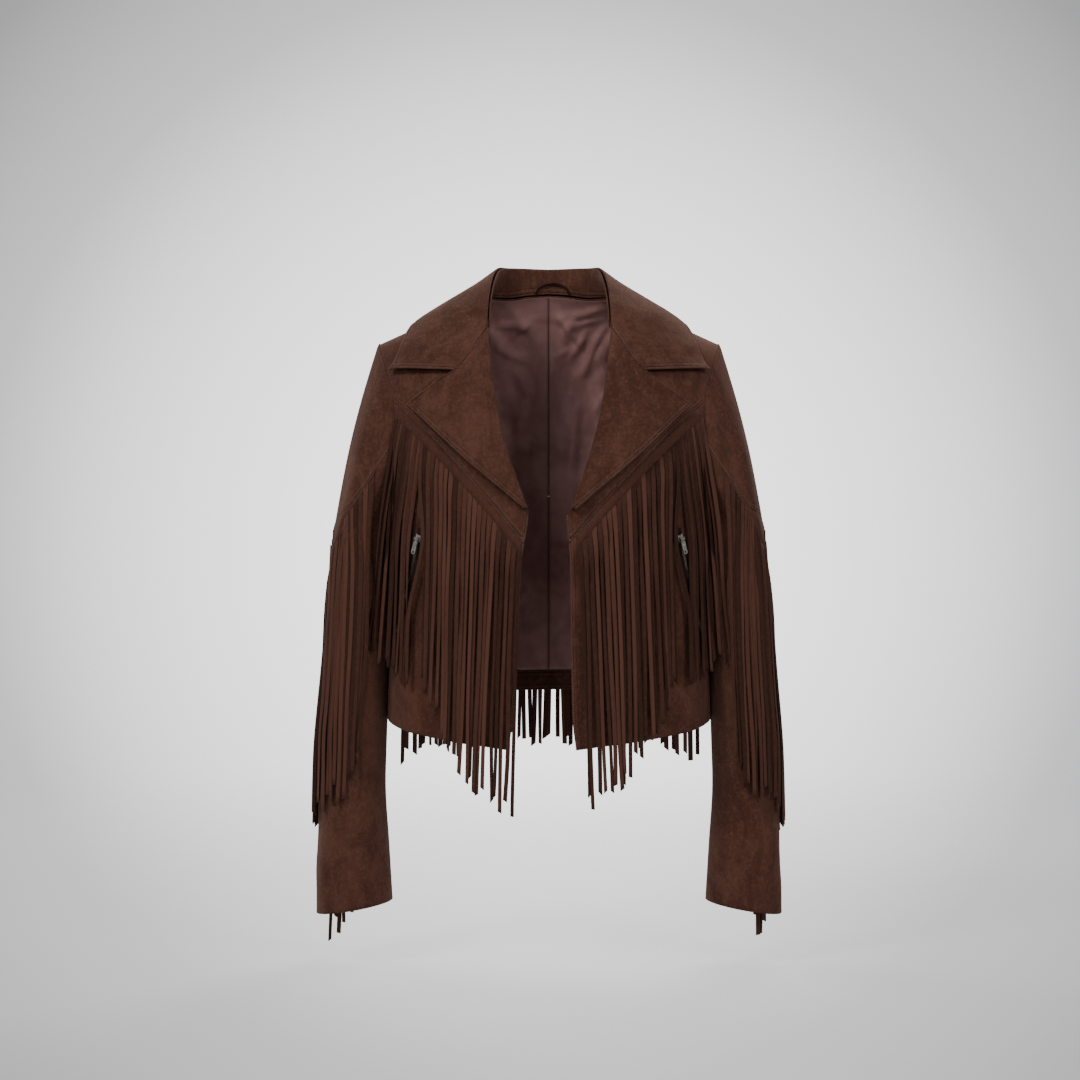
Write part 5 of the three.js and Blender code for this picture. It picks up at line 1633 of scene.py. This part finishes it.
thread_finish = thread_material()
for label, side in sides:
    u, v = spread(120, 60)
    yoke, _ = on_body(front_yoke_patch(side)(u, v), -1, 0.0, side)
    lines = sewn(yoke, from_body_axis, (1.9, 7.4))
    u, v = spread(40, 160)
    for patch in (front_yoke_patch(side), front_patch(side)):
        panel, _ = on_body(patch(u, v), -1, 0.0, side)
        edge = panel.transpose(1, 0, 2)
        low = edge[:, edge[0, :, 2] < lapel_bottom_z - 2]
        lines += sewn(low, from_body_axis, (1.9,))
    lapel = lapel_grids[label][:, ::-1].transpose(1, 0, 2)
    lines += sewn(lapel, from_body_axis, (2.0,))
    angle, v = np.meshgrid(np.linspace(back_seam_angle, front_seam_angle, 140), np.linspace(1, 0, 80))
    top = sleeve_surface(angle, v * seam_run(angle), side)
    lines += sewn(top, from_sleeve_axis(side), (1.9, 7.4))
    sew(f"topstitching_{label}", lines)
back_rows, _ = on_body(back_yoke_patch(*spread(200, 60)), 1)
collar_lines = sewn(leaf_grid[::-1], over_collar, (2.0,))
for columns in (leaf_grid.transpose(1, 0, 2), leaf_grid[:, ::-1].transpose(1, 0, 2)):
    collar_lines += sewn(columns, over_collar, (2.0,))
sew("topstitching_back", sewn(back_rows, from_body_axis, (1.9, 7.4)) + collar_lines)


# Camera, light and floor: the camera stands level in front, as in the photograph, and a wide pale
# floor fades into the same pale grey as the light all round.
camera_data = bpy.data.cameras.new("camera")
camera_data.sensor_width = 36
camera_data.lens = 78.3
camera = bpy.data.objects.new("camera", camera_data)
camera.location = (-0.01035, -2.7, -0.22425)
camera.rotation_euler = (np.pi / 2, 0, 0)
bpy.context.collection.objects.link(camera)
bpy.context.scene.camera = camera

floor_drop = -0.705
floor_reach = 3.2
ring = np.linspace(0, 2 * np.pi, 97)[:-1]
floor_mesh = bpy.data.meshes.new("floor")
floor_mesh.from_pydata(
    [(floor_reach * np.cos(t), floor_reach * np.sin(t), floor_drop) for t in ring],
    [],
    [list(range(96))],
)
floor = bpy.data.objects.new("floor", floor_mesh)
bpy.context.collection.objects.link(floor)
floor_finish = Finish("pale floor")
place = floor_finish.node("ShaderNodeTexCoord", output=3)
apart = floor_finish.node("ShaderNodeVectorMath", {"operation": "LENGTH"}, {0: place}, output=1)
floor_finish.shell(Base_Color=(0.72, 0.72, 0.73, 1), Roughness=0.9)
floor_finish.shell(Alpha=(1 - apart.ramp(0.9, 2.6)) * 0.4)
floor_mesh.materials.append(floor_finish.material)

world = bpy.data.worlds.new("studio")
world.use_nodes = True
wires = world.node_tree
heading = wires.nodes.new("ShaderNodeTexCoord")
parts = wires.nodes.new("ShaderNodeSeparateXYZ")
glow = wires.nodes.new("ShaderNodeValToRGB")
wires.links.new(heading.outputs["Generated"], parts.inputs[0])
wires.links.new(parts.outputs["Y"], glow.inputs[0])
wires.links.new(glow.outputs[0], wires.nodes["Background"].inputs["Color"])
glow.color_ramp.elements[0].position, glow.color_ramp.elements[0].color = 0.0, (0.26, 0.26, 0.263, 1)
glow.color_ramp.elements[1].position, glow.color_ramp.elements[1].color = 1.0, (2.6, 2.6, 2.62, 1)
for position, grey in ((0.8, 0.36), (0.951, 0.42), (0.974, 0.9)):
    glow.color_ramp.elements.new(position).color = (grey, grey, grey * 1.01, 1)
bpy.context.scene.world = world

light_columns = ("name", "x", "y", "z", "size", "watts")
light_rows = [
    ("key", -1.75, -1.95, 2.1, 1.0, 64),
    ("fill", 1.7, -2.1, 1.2, 1.4, 34),
    ("low", -0.75, -2.5, 0.45, 0.8, 11),
    ("back", 0.9, 2.3, 1.9, 1.4, 72),
    ("back_fill", -1.9, 1.9, 0.9, 1.4, 30),
]
for name, x, y, z, size, watts in light_rows:
    lamp = bpy.data.lights.new(name, "AREA")
    lamp.shape = "DISK"
    lamp.size, lamp.energy = size, watts
    light = bpy.data.objects.new(name, lamp)
    light.location = (x, y, z)
    aim = -np.array([x, y, z + 0.2])
    flat = np.hypot(aim[0], aim[1])
    light.rotation_euler = (np.arctan2(flat, -aim[2]), 0, np.arctan2(-aim[0], aim[1]))
    bpy.context.collection.objects.link(light)

bpy.context.view_layer.update()
